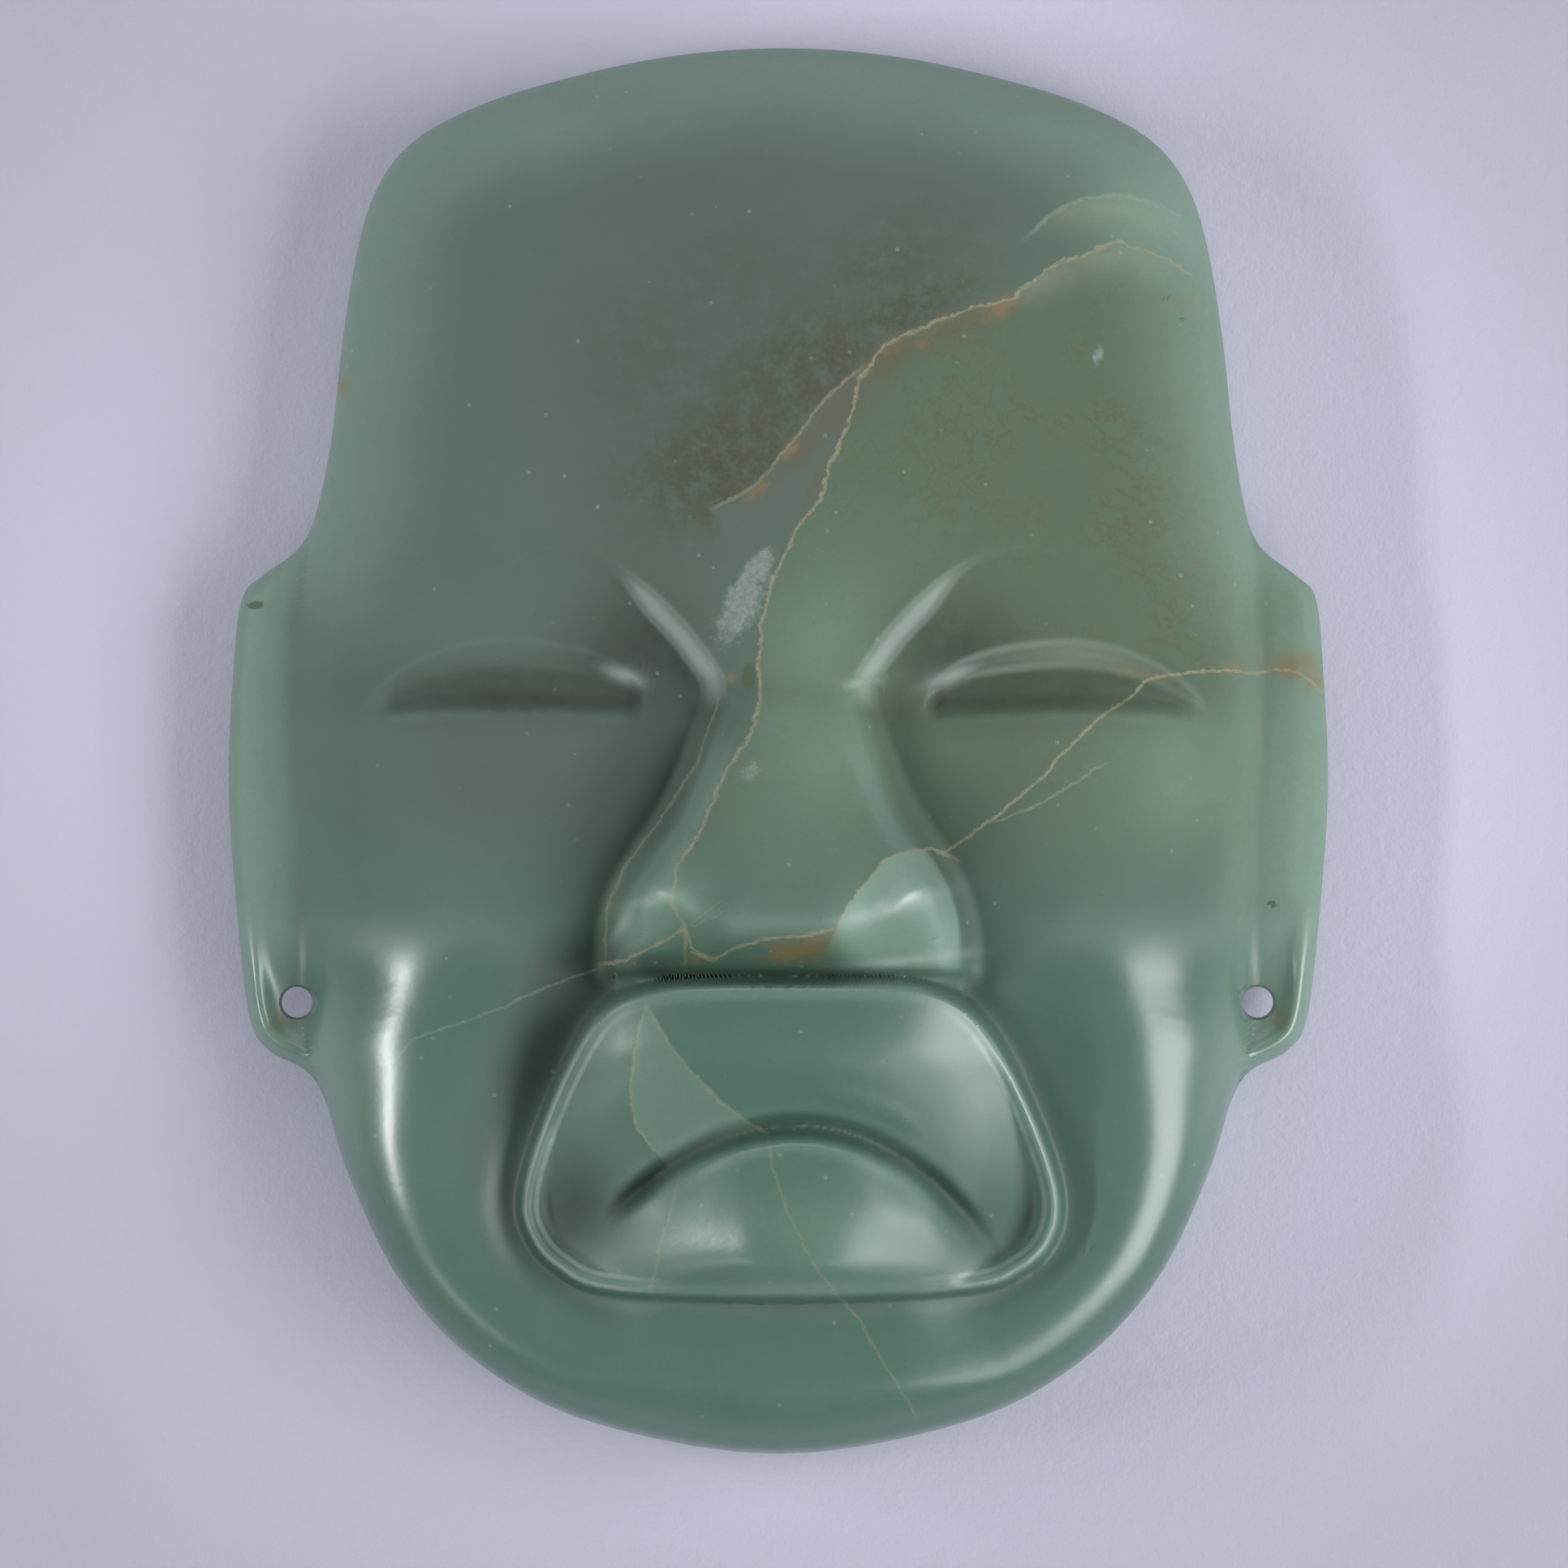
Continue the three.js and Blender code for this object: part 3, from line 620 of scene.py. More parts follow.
# the stone's stains, painted shade and painted highlight: soft patches as (x, y, half length, half width,
# turn in degrees, strength), in mm
patches = {
    "brown": [
        (-6, 33, 13, 8, 25, 0.95), (3, 42, 15, 9, 30, 0.85), (-14, 44, 10, 11, 0, 0.4),
        (12, 54, 13, 7, 25, 0.55), (-4, 53, 14, 9, 0, 0.35), (-6, 28, 6, 3.4, 20, 0.9),
        (14, 49, 11, 3.6, 27, 0.85), (6, 43.5, 7, 4, 45, 0.95), (-2, 32, 5, 2.4, 45, 1),
    ],
    "olive": [
        (30, 33, 16, 13, 0, 0.65), (41, 26, 10, 12, 0, 0.6), (22, 16, 8, 7, 40, 0.4),
        (40, 14, 14, 5, 0, 0.55), (12, 9, 5, 5, 0, 0.45), (-13, 15, 7, 5, -40, 0.45),
        (-19, -17, 3, 6, 0, 0.7),
    ],
    "eyeDirt": [(-29, 6.6, 15, 3.2, 0, 1.3), (30.5, 6.8, 15, 3, 2, 1.1)],
    # painted shade in the sockets and in the recesses beside the nose and the mouth
    "recessShade": [
        (-12.5, 10.5, 10, 4, -50, 1), (-17.5, -3, 15, 5, 66, 0.7), (22, -8, 8, 7, -60, 0.5),
        (-15, -23.8, 4, 1.5, 0, 0.9), (14, 5, 8, 3.6, -74, 0.6), (-22, -24, 5, 4, 0, 0.9),
        (-17, 11, 8, 7, 0, 1.3), (19.5, 11, 9, 7, -10, 1.15), (-31, -50, 4, 8, 0, 0.4),
    ],
    "darkGrey": [
        (-31, -3, 15, 10, 0, 0.8), (0, 62, 34, 15, 0, 0.55), (-6, 40, 30, 26, 0, 0.6),
        (-32, 55, 16, 16, 0, 0.25),
    ],
    "chin": [(0, -72, 34, 11, 0, 0.9), (-34, -48, 8, 20, 25, 0.5), (36, -40, 6, 22, -15, 0.35)],
    "mint": [
        (57, -10, 6, 30, 0, 0.75), (42, 60, 7, 6, 0, 0.6), (46, -2, 9, 8, 0, 0.5),
        # the first patch below, at the nose's left wing, is partly painted light that lifts the wing's
        # shaded side
        (-15, -18, 4.5, 5.5, 0, 1), (2, -5, 8, 7, 0, 0.4), (0, -53.5, 12, 5, 0, 0.4),
        (28, -34, 8, 3, -62, 0.3),
    ],
    "matte": [
        (-26, -33, 13, 6, 62, 1), (-22, -22, 7, 5, 0, 1), (19, 11, 10, 8, 0, 1), (-17, 9, 9, 8, 0, 1),
        (25, -52, 7, 8, 0, 1), (-22, -50, 8, 9, 0, 1), (22, -22, 6, 6, 0, 0.7),
        (14.5, -48, 6, 3.5, -40, 1), (-10.5, -48, 5, 3, 40, 1), (14, -55, 7, 5, 0, 0.35),
        (18, -38, 9, 9, 0, 0.2), (-9, -17.5, 4, 3, 0, 1),
    ],
    "zoneMint": [(8, 10, 11, 12, -15, 0.55), (4, -2, 12, 10, 0, 0.75)],
    # painted shade in the mouth's corners, under the parting's left end and in the valley left of the mouth
    "paintedShade": [
        (-23.5, -52, 8, 6, 60, 1), (23, -52.5, 7, 5, -60, 0.4), (-26.5, -34, 11, 4.5, 62, 1),
        (-17, -50.3, 5, 2, 40, 1),
    ],
    "chip": [(30, 53.2, 6, 2, 22, 1), (36.4, 55.6, 5, 1.8, 15, 1), (41.6, 55.6, 3, 2, -40, 0.7)],
    "arc": [(36, 61.2, 8, 1.8, 8, 1), (43, 60, 4, 2, -20, 0.8)],
    "flake": [
        (20, 47.6, 7, 1.9, 25, 0.7), (12.5, 44.2, 5, 2.2, 45, 0.9), (7.5, 39, 5, 2, 50, 0.9),
        (3.2, 34.2, 5, 1.4, 50, 0.7), (-1, 30.5, 4, 1, 45, 0.5), (4.4, 30, 4, 0.9, 62, 0.5),
    ],
    # painted highlights at the eyes' inner ends, on the nose's wings and at the lower ends of the brows'
    # bevels
    "paintedHighlight": [
        (-17.4, 8.4, 2.4, 0.8, -20, 0.8), (19.6, 8.4, 3.2, 0.9, 22, 0.8), (14, -23.6, 6, 0.6, 6, 1),
        (12.8, -17.6, 5, 0.9, 15, 0.9), (-14.6, -16.9, 2.6, 0.6, 14, 0.8),
        (-17.4, -19.4, 2.2, 0.6, 62, 0.7), (9.5, 7.6, 2.2, 0.6, 10, 0.8), (-7.5, 9.4, 1.6, 0.5, -60, 0.7),
    ],
    "rust": [
        (25, 49.9, 2.6, 1.4, 30, 1), (12.6, 45.6, 2, 1.4, 40, 0.7), (17, 47.6, 5, 0.9, 25, 0.6),
        (41.4, 56.4, 2.4, 1.3, -40, 0.5), (58.6, 9.6, 4.4, 1.9, 0, 1), (51, 9.3, 3, 0.8, 0, 0.8),
        (61, 7.6, 1.6, 1.6, 0, 0.8), (-49.6, 41.4, 1.4, 1.7, 0, 0.7), (-48.6, 39, 3, 4, 0, 0.25),
        (-55.6, -29.8, 3, 1.6, 40, 0.8), (57, -30.6, 2.2, 1.6, -40, 0.6), (2.2, -22.3, 5, 1.7, 8, 1.1),
        (16.3, 45.9, 1.4, 1.1, 30, 0.8), (9.8, 42.8, 1.4, 1, 40, 0.8), (1.5, 33.8, 1.8, 0.9, 50, 0.8),
        (-2.4, 29.2, 1.8, 1, 45, 0.8), (45.4, 50.6, 2.6, 0.7, -5, 0.6), (-9.4, -23.2, 3, 0.9, 20, 0.6),
        (5.6, -20.9, 1.4, 1.6, 30, 0.9), (44.6, -25.4, 0.7, 0.9, 0, 0.7), (42.4, -32.4, 0.8, 0.6, 0, 0.5),
        (-5.2, 8.3, 1.1, 0.8, 30, 0.7), (40.4, 8.8, 5, 0.9, -10, 0.5), (30, 31.6, 1.3, 1, 0, 0.3),
        (-47.2, 38.6, 2, 1.4, 0, 0.3),
    ],
    "spots": [
        (-59.3, 16.5, 1.2, 0.5, 6, 1), (-60.1, 16.6, 0.5, 0.3, 0, 0.7), (56, -17.4, 0.6, 0.9, 60, 0.8),
        (57.4, -5.1, 0.4, 0.5, 0, 0.5), (44, 51.2, 0.9, 0.35, 20, 0.9), (45.6, 48.6, 1.1, 0.35, 10, 0.8),
        (17.8, 39.4, 1.2, 0.4, 10, 0.6), (-3.3, 8.3, 1.1, 1.9, 0, 0.9), (34.9, -56.2, 0.9, 0.3, 20, 0.8),
    ],
    "quartz": [
        (-4.1, 16.4, 4.2, 2.1, 62, 1.1), (-2.4, 20.4, 2.6, 1.3, 50, 1.2), (-3.2, -2.6, 1.8, 1.2, 40, 0.7),
        (36, 44.4, 0.7, 1.1, -20, 0.9),
    ],
}

wingPatch = [(14, -17, 9, 9, 0, 1)]        # the paler stone at one wing of the nose lies in this patch
seamRun = 60.0             # how far each seam's ends run on


def patchField(blobs, x, y):
    total = np.zeros(x.shape)
    for middleX, middleY, halfLength, halfWidth, turn, strength in blobs:
        c, s = math.cos(math.radians(turn)), math.sin(math.radians(turn))
        u = ((x - middleX) * c + (y - middleY) * s) / halfLength
        v = ((y - middleY) * c - (x - middleX) * s) / halfWidth
        total = np.maximum(total, strength * np.exp(-(u * u + v * v)))
    return total


# the seam's ends run on straight, so that its two sides stay apart beyond them
def runOn(points, reach):
    spots = np.array(points, float)
    first, last = spots[0] - spots[1], spots[-1] - spots[-2]
    start = spots[0] + first / np.hypot(*first) * reach
    end = spots[-1] + last / np.hypot(*last) * reach
    return np.vstack([start, spots, end])


# keeps one value, or two or three together, for each vertex
def keep(data, name, *parts):
    if len(parts) == 1:
        layer = data.attributes.new(name, "FLOAT", "POINT")
        layer.data.foreach_set("value", parts[0].astype(np.float32))
        return
    together = np.zeros((len(data.vertices), 3), np.float32)
    together[:, :len(parts)] = np.stack(parts, axis=1)
    layer = data.attributes.new(name, "FLOAT_VECTOR", "POINT")
    layer.data.foreach_set("vector", together.ravel())


# how much a point lies in a hollow (above 0) or on a crest (below 0): the height of the face round it, as a
# soft mean over a few mm, less its own
def hollowness(x, y, reach):
    step = 0.5
    floorLevel = 4             # stands for all that is lower, also outside the mask
    across = np.arange(-64, 64.01, step)
    along = np.arange(-82, 82.01, step)
    gridX, gridY = np.meshgrid(across, along)
    level = np.maximum(faceHeight(gridX.ravel(), gridY.ravel()), floorLevel).reshape(gridX.shape)
    half = round(2 * reach / step)
    weights = bell(np.arange(-half, half + 1) * step, reach)
    weights /= weights.sum()
    mean = np.apply_along_axis(np.convolve, 0, np.pad(level, half, mode="edge"), weights, "valid")
    mean = np.apply_along_axis(np.convolve, 1, mean, weights, "valid")
    rise = mean - level
    column = (x - across[0]) / step
    row = (y - along[0]) / step
    i = np.clip(row.astype(int), 0, len(along) - 2)
    j = np.clip(column.astype(int), 0, len(across) - 2)
    v, u = row - i, column - j
    return lerp(lerp(rise[i, j], rise[i, j + 1], u), lerp(rise[i + 1, j], rise[i + 1, j + 1], u), v)


def markStone(data):
    spots = np.empty(len(data.vertices) * 3, np.float32)
    data.vertices.foreach_get("co", spots)
    x, y, _ = spots.reshape(-1, 3).T.astype(float) / mm
    for name, points in seams.items():
        distance, along = lineField(runOn(points, seamRun), x, y)
        length = np.sum(np.hypot(*np.diff(np.array(points), axis=0).T))
        fromEnds = np.minimum(along - seamRun, length + seamRun - along)
        keep(data, name, distance, fromEnds)
    for name, blobs in patches.items():
        keep(data, name, patchField(blobs, x, y))
    across = np.abs(x - carving["faceAxis"])
    onWing = patchField(wingPatch, x, y) * smooth(1.2, -0.6, across - noseHalfWidth(y))
    keep(data, "onWing", onWing)
    depth = -leftOfMouthEdge(x, y)
    foldSide = leftOfFold(across, y)
    edgeDepth = intoOutline(x, y)
    keep(data, "fromEdge", np.maximum(edgeDepth, 0))
    keep(data, "lowerFace", smooth(14, -30, y))
    # painted shade in hollows and painted light on crests, by how the face lies below or above its
    # surroundings
    inside = smooth(1.5, 5, edgeDepth)
    near, wide = hollowness(x, y, 1.6), hollowness(x, y, 4.5)
    keep(data, "hollow", inside * (smooth(0.05, 0.7, near) * 0.5 + smooth(0.1, 2.2, wide) * 0.5))
    keep(data, "crest", inside * smooth(-0.05, -0.5, near))
    # the brow's bevel, for its painted highlight and polish: past the fold, past the bevel, and how
    # strongly it shows
    socket = socketDepth(y, across)
    pastBevel = foldSide - browBevel(socket)
    outerEnd = np.where(x < 0, smooth(0.8, 2.4, socket), smooth(0.25, 1.8, socket))
    browShare = smooth(4, 8, y) * outerEnd
    keep(data, "brow", foldSide, pastBevel, browShare)
    # each lid's bevel: how far below its upper edge, how far past its lower edge, and how strongly its
    # painted highlight and polish show
    lids = np.full((3, len(x)), -9.0)
    for (middle, level), strength in zip(eyes["middles"], (0.15, 1)):
        share, arch, upperEdge, _ = eyeLines(x, middle, level)
        fall = upperEdge - y
        lid = lidWidth(arch)
        inner = smooth(-0.9, 0.9, share)
        nearby = np.abs(x - middle) < 20
        lids[0] = np.where(nearby, fall, lids[0])
        lids[1] = np.where(nearby, fall - lid, lids[1])
        ends = smooth(1.03, 0.93, np.abs(share)) * (0.35 + 0.65 * inner) * strength
        lids[2] = np.where(nearby, ends, np.maximum(lids[2], 0))
    keep(data, "lids", *lids)
    wings = bell(across - 14, 7) * bell(y + 18, 6)
    keep(data, "polish", np.maximum(wings, smooth(-16, -26, y)))
    # the mouth's frame, for the painted highlight along its edges
    sides = smooth(-28, -33, y) * smooth(12, 20, across)
    keep(data, "frame", depth, sides)
    # the upper head, where painted light pales the thin edges
    keep(data, "upperHead", smooth(-58, -30, y))
    keep(data, "upperLip", smooth(-0.6, 0.6, depth) * smooth(0.3, -0.3, -leftOfParting(x, y)))


markStone(mask.data)
print("stage 5: the stone's seams and stains are marked")


# a shader socket that takes part in plain arithmetic
class Signal:
    def __init__(self, tree, socket):
        self.tree = tree
        self.socket = socket

    def make(self, kind, settings=None, inputs=None, output=0):
        node = self.tree.nodes.new(kind)
        for name, value in (settings or {}).items():
            setattr(node, name, value)
        for name, value in (inputs or {}).items():
            if isinstance(value, Signal):
                value.into(node, name)
            else:
                node.inputs[name].default_value = value
        return Signal(self.tree, node.outputs[output])

    def math(self, operation, *values):
        return self.make("ShaderNodeMath", {"operation": operation}, dict(enumerate(values)))

    def __add__(self, other):
        return self.math("ADD", self, other)

    def __radd__(self, other):
        return self.math("ADD", other, self)

    def __sub__(self, other):
        return self.math("SUBTRACT", self, other)

    def __rsub__(self, other):
        return self.math("SUBTRACT", other, self)

    def __mul__(self, other):
        return self.math("MULTIPLY", self, other)

    def __rmul__(self, other):
        return self.math("MULTIPLY", other, self)

    def step(self, low, high):             # 0 below low, 1 above high, smooth between
        return self.make("ShaderNodeMapRange", {"interpolation_type": "SMOOTHSTEP"},
                         {"Value": self, "From Min": low, "From Max": high})

    def most(self, other):
        return self.math("MAXIMUM", self, other)

    def size(self):
        return self.math("ABSOLUTE", self)

    def toward(self, other, share):        # mixes this colour with another
        return self.make("ShaderNodeMix", {"data_type": "RGBA"}, {0: share, 6: self, 7: other}, 2)

    def into(self, node, name):            # feeds a node's socket
        self.tree.links.new(self.socket, node.inputs[name])


def linear(red, green, blue):              # a screen colour from 0 to 255 as the shader's linear one
    def channel(value):
        share = value / 255
        return share / 12.92 if share <= 0.04045 else ((share + 0.055) / 1.055) ** 2.4
    return (channel(red), channel(green), channel(blue), 1)


def newMaterial(name):
    material = bpy.data.materials.new(name)
    material.use_nodes = True
    tree = material.node_tree
    tree.nodes.clear()
    output = tree.nodes.new("ShaderNodeOutputMaterial")
    shader = tree.nodes.new("ShaderNodeBsdfPrincipled")
    tree.links.new(shader.outputs[0], output.inputs["Surface"])
    place = Signal(tree, tree.nodes.new("ShaderNodeTexCoord").outputs["Object"])
    place = place.make("ShaderNodeVectorMath", {"operation": "SCALE"}, {0: place, "Scale": 1 / mm})
    return material, shader, place


def noise(place, scale, detail, roughness, offset):
    shift = (offset, offset * 0.7, 0)
    moved = place.make("ShaderNodeVectorMath", {"operation": "ADD"}, {0: place, 1: shift})
    return place.make("ShaderNodeTexNoise", {"noise_dimensions": "3D"},
                      {"Vector": moved, "Scale": scale, "Detail": detail, "Roughness": roughness})


# the stone's colours as a screen shows them, painted light and shade among them, and its polish
jade = {
    "stone": (80, 104, 88),
    "stoneLow": (78, 115, 97),
    "stoneRight": (78, 102, 78),
    "chin": (76, 116, 98),
    "pale": (140, 164, 146),
    # painted light: paler at the thin edges, where light shines through the stone
    "edge": (138, 166, 150),
    "brown": (54, 57, 28),
    "olive": (78, 96, 54),
    "vein": (80, 84, 46),
    "dirt": (42, 56, 34),
    # painted light: shade in the recesses, shade in the hollows, light on the crests and deeper shade
    "recessShade": (38, 52, 34),
    "hollow": (50, 70, 56),
    "crest": (136, 164, 152),
    "paintedShade": (26, 50, 38),
    "chip": (122, 132, 112),
    "darkGrey": (76, 88, 80),
    "mint": (128, 162, 140),
    "wing": (138, 172, 152),
    "rust": (138, 110, 64),
    "flake": (88, 82, 58),
    "spot": (58, 80, 46),
    "quartz": (146, 158, 148),
    # painted highlight on the bevels, the nose's wings and the mouth's frame
    "paintedHighlight": (184, 198, 188),
    "seamLine": (156, 152, 120),
    "roughness": 0.28,
    "browRoughness": 0.85,
    "hollowRoughness": 0.6,
    "subsurface": 0.3,
    "subsurfaceDepth": (0.9, 1.5, 1.1),
    "subsurfaceScale": 2.0,    # mm
    "ior": 2.0,
    "bump": 0.5,
}


def jadeMaterial():
    material, shader, place = newMaterial("jade")

    # a mark that the mesh keeps, or one part of it where it keeps several together
    def field(name, part=None):
        settings = {"attribute_type": "GEOMETRY", "attribute_name": name}
        if part is None:
            return place.make("ShaderNodeAttribute", settings, {}, 2)
        layer = place.make("ShaderNodeAttribute", settings, {}, 1)
        return layer.make("ShaderNodeSeparateXYZ", {}, {0: layer}, part)

    def tint(name):
        return linear(*jade[name])

    def paint(name, share):
        nonlocal colour
        colour = colour.toward(tint(name), share)

    cloudy = noise(place, 0.09, 3, 0.55, 31)
    ragged = noise(place, 0.45, 2, 0.65, 7)
    grainy = noise(place, 1.8, 1, 0.6, 53)
    crumble = (ragged - 0.5) * 1.1 + (grainy - 0.5) * 0.7
    wander = (ragged - 0.5) * 1.5 + (grainy - 0.5) * 0.4
    lower = field("lowerFace")

    colour = place.make("ShaderNodeRGB")
    colour.socket.default_value = tint("stone")
    paint("stoneLow", lower)
    # another stone lies right of the long seam, greener and veined with brown
    beyond = (field("zone", 0) + wander).step(-0.12, 0.12) * (1 - lower)
    paint("darkGrey", field("darkGrey") * (1 - beyond) * (0.5 + cloudy * 0.8))
    paint("stoneRight", beyond)
    paint("olive", field("olive") * (ragged + cloudy - 0.8).step(-0.1, 0.45) * 0.8)
    veins = (ragged - 0.5).size().step(0.06, 0) * (cloudy - 0.38).step(0, 0.2)
    paint("vein", veins * beyond * (field("olive") * 0.6 + 0.3))
    pastTail = (field("crackTail", 0) + wander * 0.6).step(-0.15, 0.15)
    flake = beyond.most(pastTail * field("crackTail", 1).step(-1, 0.5))
    paint("brown", field("brown") * (1 - flake) * (ragged + grainy * 0.5 - 0.6).step(-0.3, 0.35))
    paint("chip", field("chip") * beyond * (0.4 + ragged * 0.7))
    belowArc = (field("crownArc", 0) + wander * 0.6).step(0.15, -0.15)
    paint("chip", field("arc") * belowArc * (0.4 + ragged * 0.6))
    paint("flake", field("flake") * flake * (0.5 + ragged * 0.8))
    # paler green stone; at the nose's left wing partly painted light
    mint = field("mint").most(field("zoneMint") * beyond)
    paint("mint", mint * (0.55 + cloudy * 0.5))
    wing = (field("wing", 0) + wander * 0.6).step(0.15, -0.15) * field("onWing").step(0.2, 0.5)
    paint("wing", wing * 0.75)
    paint("chin", field("chin"))
    # painted light: paler at the thin edges and on the crests, painted shade in the hollows and recesses
    edge = (field("fromEdge") + (cloudy - 0.5) * 6).step(15, -2)
    paint("edge", edge * field("upperHead") * 0.6)
    paint("crest", field("crest") * 0.3)
    paint("hollow", field("hollow") * 0.35)
    paint("paintedShade", field("paintedShade") * (0.7 + ragged * 0.3))
    paint("recessShade", field("recessShade") * (0.55 + ragged * 0.4))
    paint("dirt", field("eyeDirt") * (0.5 + ragged * 0.6))
    crystals = (field("quartz") + crumble * 0.7).step(0.2, 0.8) * (0.7 + (grainy - 0.4).step(0, 0.25) * 0.3)
    paint("quartz", crystals * 0.7)
    rust = (field("rust") * (0.45 + ragged) + crumble * 0.5).step(0.12, 1)
    paint("rust", rust * 0.65)
    paint("spot", (field("spots") + crumble * 0.3).step(0.35, 0.6) * 0.8)

    # thin seams: half width, colour, strength
    lines = {
        "zone": (0.13, "seamLine", 0.7), "crackTail": (0.13, "seamLine", 0.5),
        "crownArc": (0.16, "pale", 0.45), "eyeSeam": (0.12, "seamLine", 0.75),
        "eyeSecond": (0.1, "pale", 0.45), "noseLeft": (0.1, "seamLine", 0.4),
        "noseFoot": (0.13, "seamLine", 0.8), "wing": (0.12, "seamLine", 0.6), "cheek": (0.1, "pale", 0.4),
        "lipLeft": (0.12, "seamLine", 0.45), "lipRight": (0.13, "seamLine", 0.45),
        "lowerLip": (0.12, "seamLine", 0.35), "lowerShort": (0.11, "seamLine", 0.25),
    }
    for name, (halfWidth, tintName, strength) in lines.items():
        off = (field(name, 0) + (wander if name == "zone" else wander * 0.6)).size()
        line = off.step(halfWidth * 2.2, halfWidth * 0.7) * field(name, 1).step(-1, 1.5)
        paint(tintName, line * (0.55 + (grainy - 0.35).step(0, 0.3) * 0.45) * strength)

    # the wedges beside the seams on the lip
    wedge = (field("lipLeft", 0) + crumble * 0.4).step(-0.2, 0.2)
    wedge = wedge * (field("lipRight", 0) + crumble * 0.4).step(0.2, -0.2)
    paint("pale", wedge * field("upperLip") * 0.35)

    # painted highlight on the cut bevels of brows and lids: a soft streak along each, a faint line on its
    # edges
    def bevel(name, reach, faceShare, lineShare):
        above, under, share = (field(name, part) for part in range(3))
        face = above.step(-0.3, 1.1) * under.step(0.3, -1.1) * share
        paintedHighlight = above.size().step(reach, 0).most(under.size().step(reach, 0)) * share
        return face, face * faceShare + paintedHighlight * lineShare

    browFace, browHighlight = bevel("brow", 0.45, 0.46, 0.12)
    lidFace, lidHighlight = bevel("lids", 0.8, 0.1, 0.26)
    # painted highlight along the two edges of the mouth's frame
    outerLine, innerLine = ((field("frame", 0) - inset).size().step(0.4, 0.1) for inset in (0.4, 1.7))
    frameHighlight = outerLine.most(innerLine) * field("frame", 1) * (0.1 + ragged * 0.4)
    paint("paintedHighlight", browHighlight.most(lidHighlight).most(frameHighlight).most(field("paintedHighlight") * 0.7))

    # pale flecks and the stone's own grain
    cells = place.make("ShaderNodeTexVoronoi", {"feature": "F1"}, {"Vector": place, "Scale": 0.33})
    paint("quartz", cells.step(0.11, 0.04) * (cloudy - 0.5).step(-0.05, 0.1) * 0.5)
    shade = 0.81 + cloudy * 0.2 + grainy * 0.13 + ragged * 0.07
    colour = colour.make("ShaderNodeHueSaturation", {}, {"Color": colour, "Value": shade})

    # polished below the nose and on the cut bevels, dull where dirt or wear lies
    gloss = field("polish").most(browFace * 0.8).most(lidFace) * (1 - field("matte"))
    rough = jade["browRoughness"] + gloss * (jade["roughness"] - jade["browRoughness"])
    rough = rough + field("hollow") * gloss * (jade["hollowRoughness"] - jade["roughness"])
    rough = rough + (grainy - 0.3) * 0.03
    height = (grainy - 0.5) * 0.008 + (ragged - 0.5) * 0.04
    bump = place.make("ShaderNodeBump", {}, {"Height": height, "Distance": mm, "Strength": jade["bump"]})
    colour.into(shader, "Base Color")
    rough.into(shader, "Roughness")
    bump.into(shader, "Normal")
    shader.inputs["IOR"].default_value = jade["ior"]
    shader.inputs["Subsurface Weight"].default_value = jade["subsurface"]
    shader.inputs["Subsurface Radius"].default_value = jade["subsurfaceDepth"]
    shader.inputs["Subsurface Scale"].default_value = jade["subsurfaceScale"] * mm
    return material


mask.data.materials.append(jadeMaterial())
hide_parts("jade_mask")
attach(mask, "root")
print("stage 6: the mask is dressed")


# the pale paper
paper = {
    "side": 3000.0,            # mm
    "colour": (219, 218, 237),
    "farShade": 0.26,          # painted shade: how much darker it is away from the mask
    "paintedTopLight": 0.16,           # and painted light just above the mask
    "roughness": 0.85,
    "bump": 0.4,
}


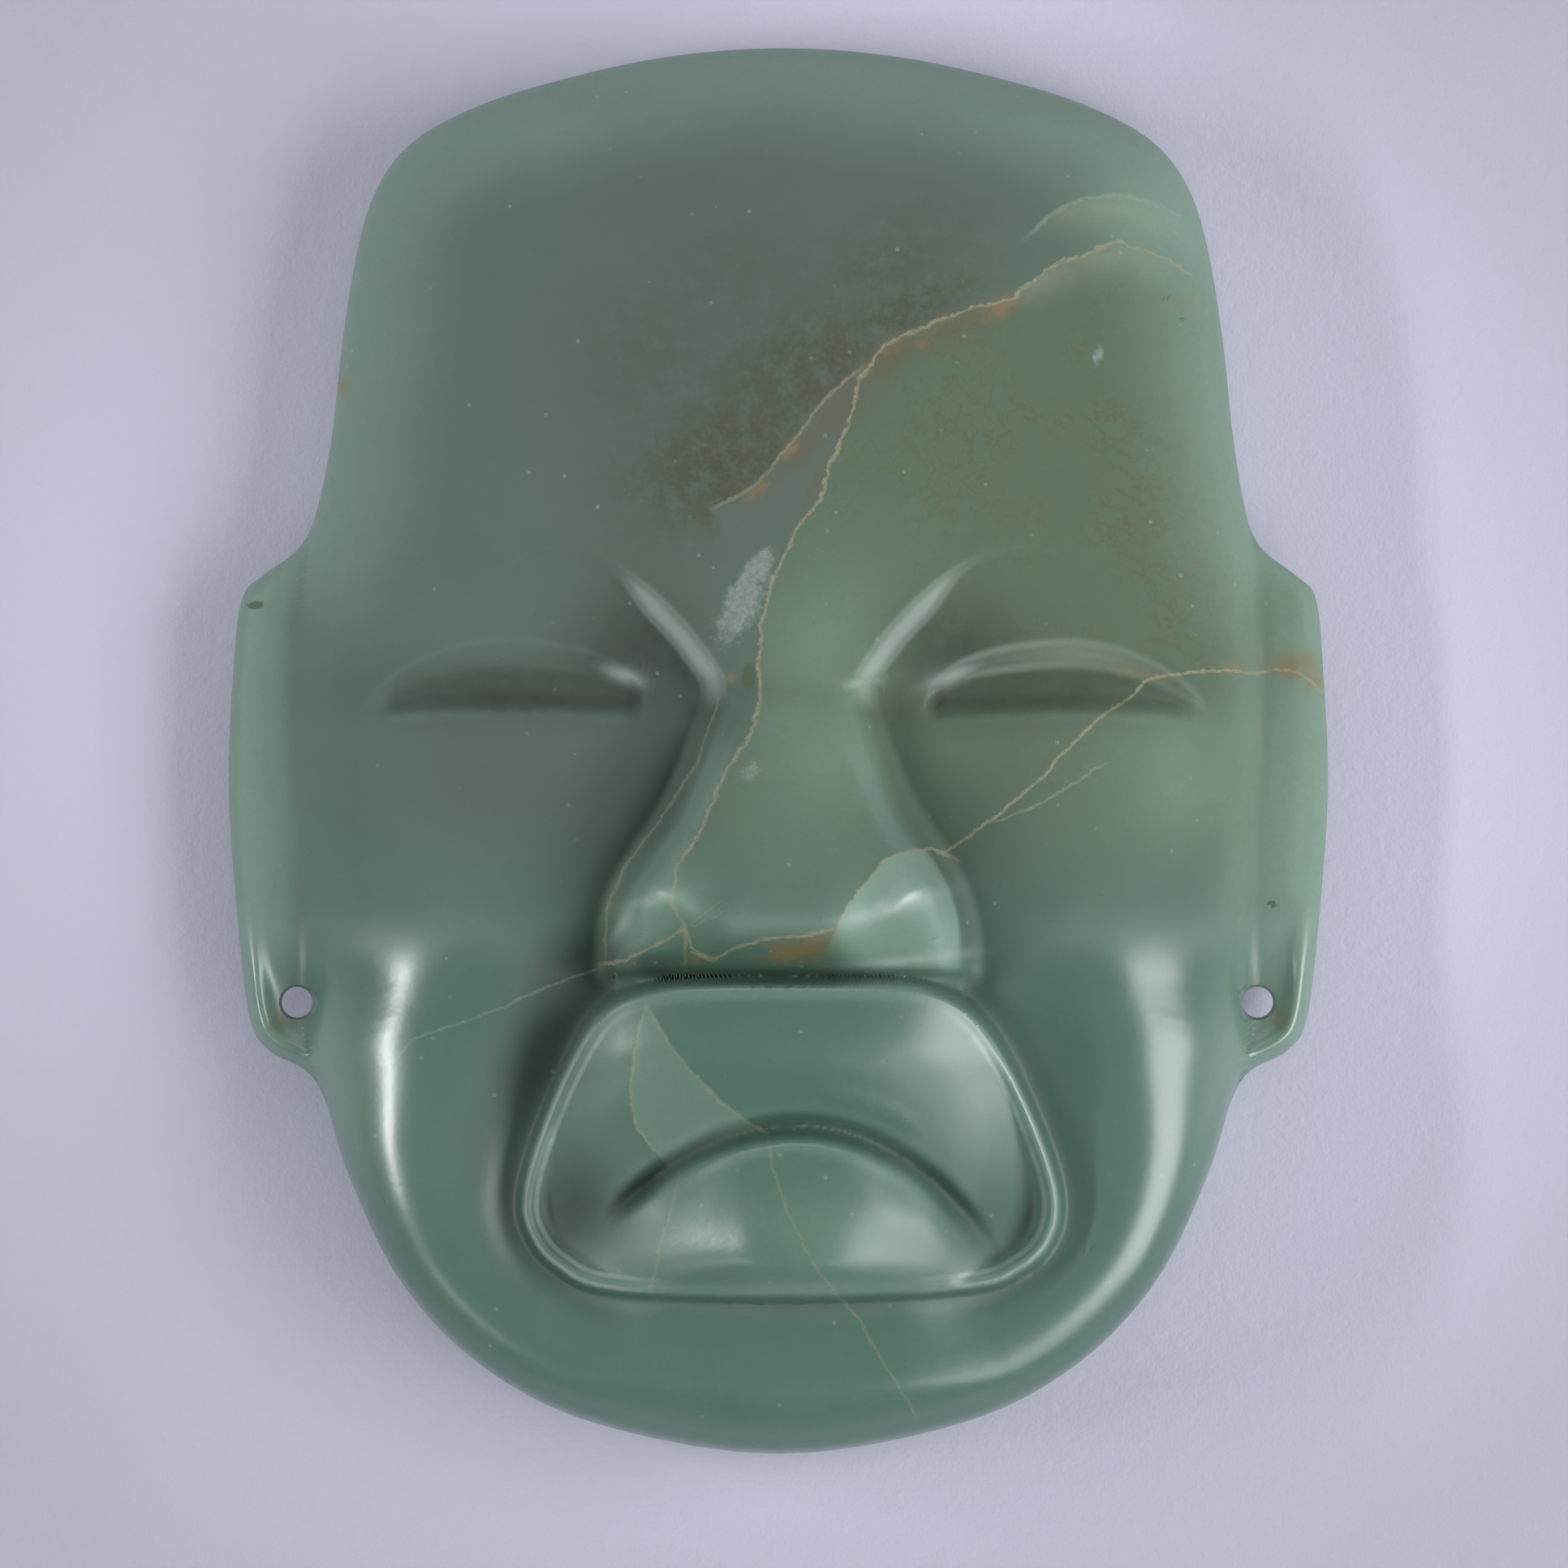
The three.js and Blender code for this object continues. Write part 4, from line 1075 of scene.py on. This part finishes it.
def layPaper():
    sheet = bmesh.new()
    bmesh.ops.create_grid(sheet, x_segments=1, y_segments=1, size=paper["side"] / 2 * mm)
    floor = objectOf("paper", sheet)
    material, shader, place = newMaterial("paper")
    tooth = noise(place, 0.55, 6, 0.65, 0)
    weave = noise(place, 2.2, 4, 0.6, 17)
    drift = noise(place, 0.02, 3, 0.5, 5)
    colour = place.make("ShaderNodeRGB")
    colour.socket.default_value = linear(*paper["colour"])
    away = place.make("ShaderNodeVectorMath", {"operation": "LENGTH"}, {0: place}, 1)
    above = place.make("ShaderNodeVectorMath", {"operation": "DISTANCE"}, {0: place, 1: (0, 92, 0)}, 1)
    # painted shade away from the mask and painted light just above it
    shade = 0.95 + (tooth - 0.5) * 0.03 + (drift - 0.5) * 0.08 - away.step(62, 125) * paper["farShade"]
    shade = shade + above.step(60, 0) * paper["paintedTopLight"]
    colour = colour.make("ShaderNodeHueSaturation", {}, {"Color": colour, "Value": shade})
    height = (tooth - 0.5) * 0.35 + (weave - 0.5) * 0.12
    bump = place.make("ShaderNodeBump", {}, {"Height": height, "Distance": mm, "Strength": paper["bump"]})
    colour.into(shader, "Base Color")
    bump.into(shader, "Normal")
    shader.inputs["Roughness"].default_value = paper["roughness"]
    floor.data.materials.append(material)


# each lamp's bearing round the mask, its angle from straight above, its distance and its size in metres
lamps = {
    "rightWide": {"bearing": -10, "slant": 51, "distance": 1.0, "size": (0.9, 0.66), "watts": 7.0},
    "rightLow": {"bearing": -56, "slant": 54, "distance": 1.0, "size": (0.4, 0.4), "watts": 0.9},
    "leftStrip": {"bearing": 178, "slant": 54, "distance": 0.95, "size": (0.46, 0.08), "watts": 3.0},
    "leftLow": {"bearing": 222, "slant": 55, "distance": 0.95, "size": (0.3, 0.14), "watts": 0.25},
    "topSoft": {"bearing": 95, "slant": 62, "distance": 1.0, "size": (1.0, 0.6), "watts": 1.3},
}
air = {"colour": (0.92, 0.94, 1.0), "strength": 0.28}


def lightScene():
    for name, lamp in lamps.items():
        data = bpy.data.lights.new(name, "AREA")
        data.shape = "RECTANGLE"
        data.size, data.size_y = lamp["size"]
        data.energy = lamp["watts"]
        box = bpy.data.objects.new(name, data)
        bearing, slant = math.radians(lamp["bearing"]), math.radians(lamp["slant"])
        level = math.sin(slant)
        toward = Vector((math.cos(bearing) * level, math.sin(bearing) * level, math.cos(slant)))
        box.location = toward * lamp["distance"]
        box.rotation_euler = toward.to_track_quat("Z", "Y").to_euler()
        bpy.context.scene.collection.objects.link(box)
    world = bpy.data.worlds.new("room")
    world.use_nodes = True
    background = world.node_tree.nodes["Background"]
    background.inputs["Color"].default_value = (*air["colour"], 1)
    background.inputs["Strength"].default_value = air["strength"]
    bpy.context.scene.world = world
    bpy.context.scene.view_settings.view_transform = "Standard"


layPaper()
lightScene()
print("stage 7: paper and light are set")
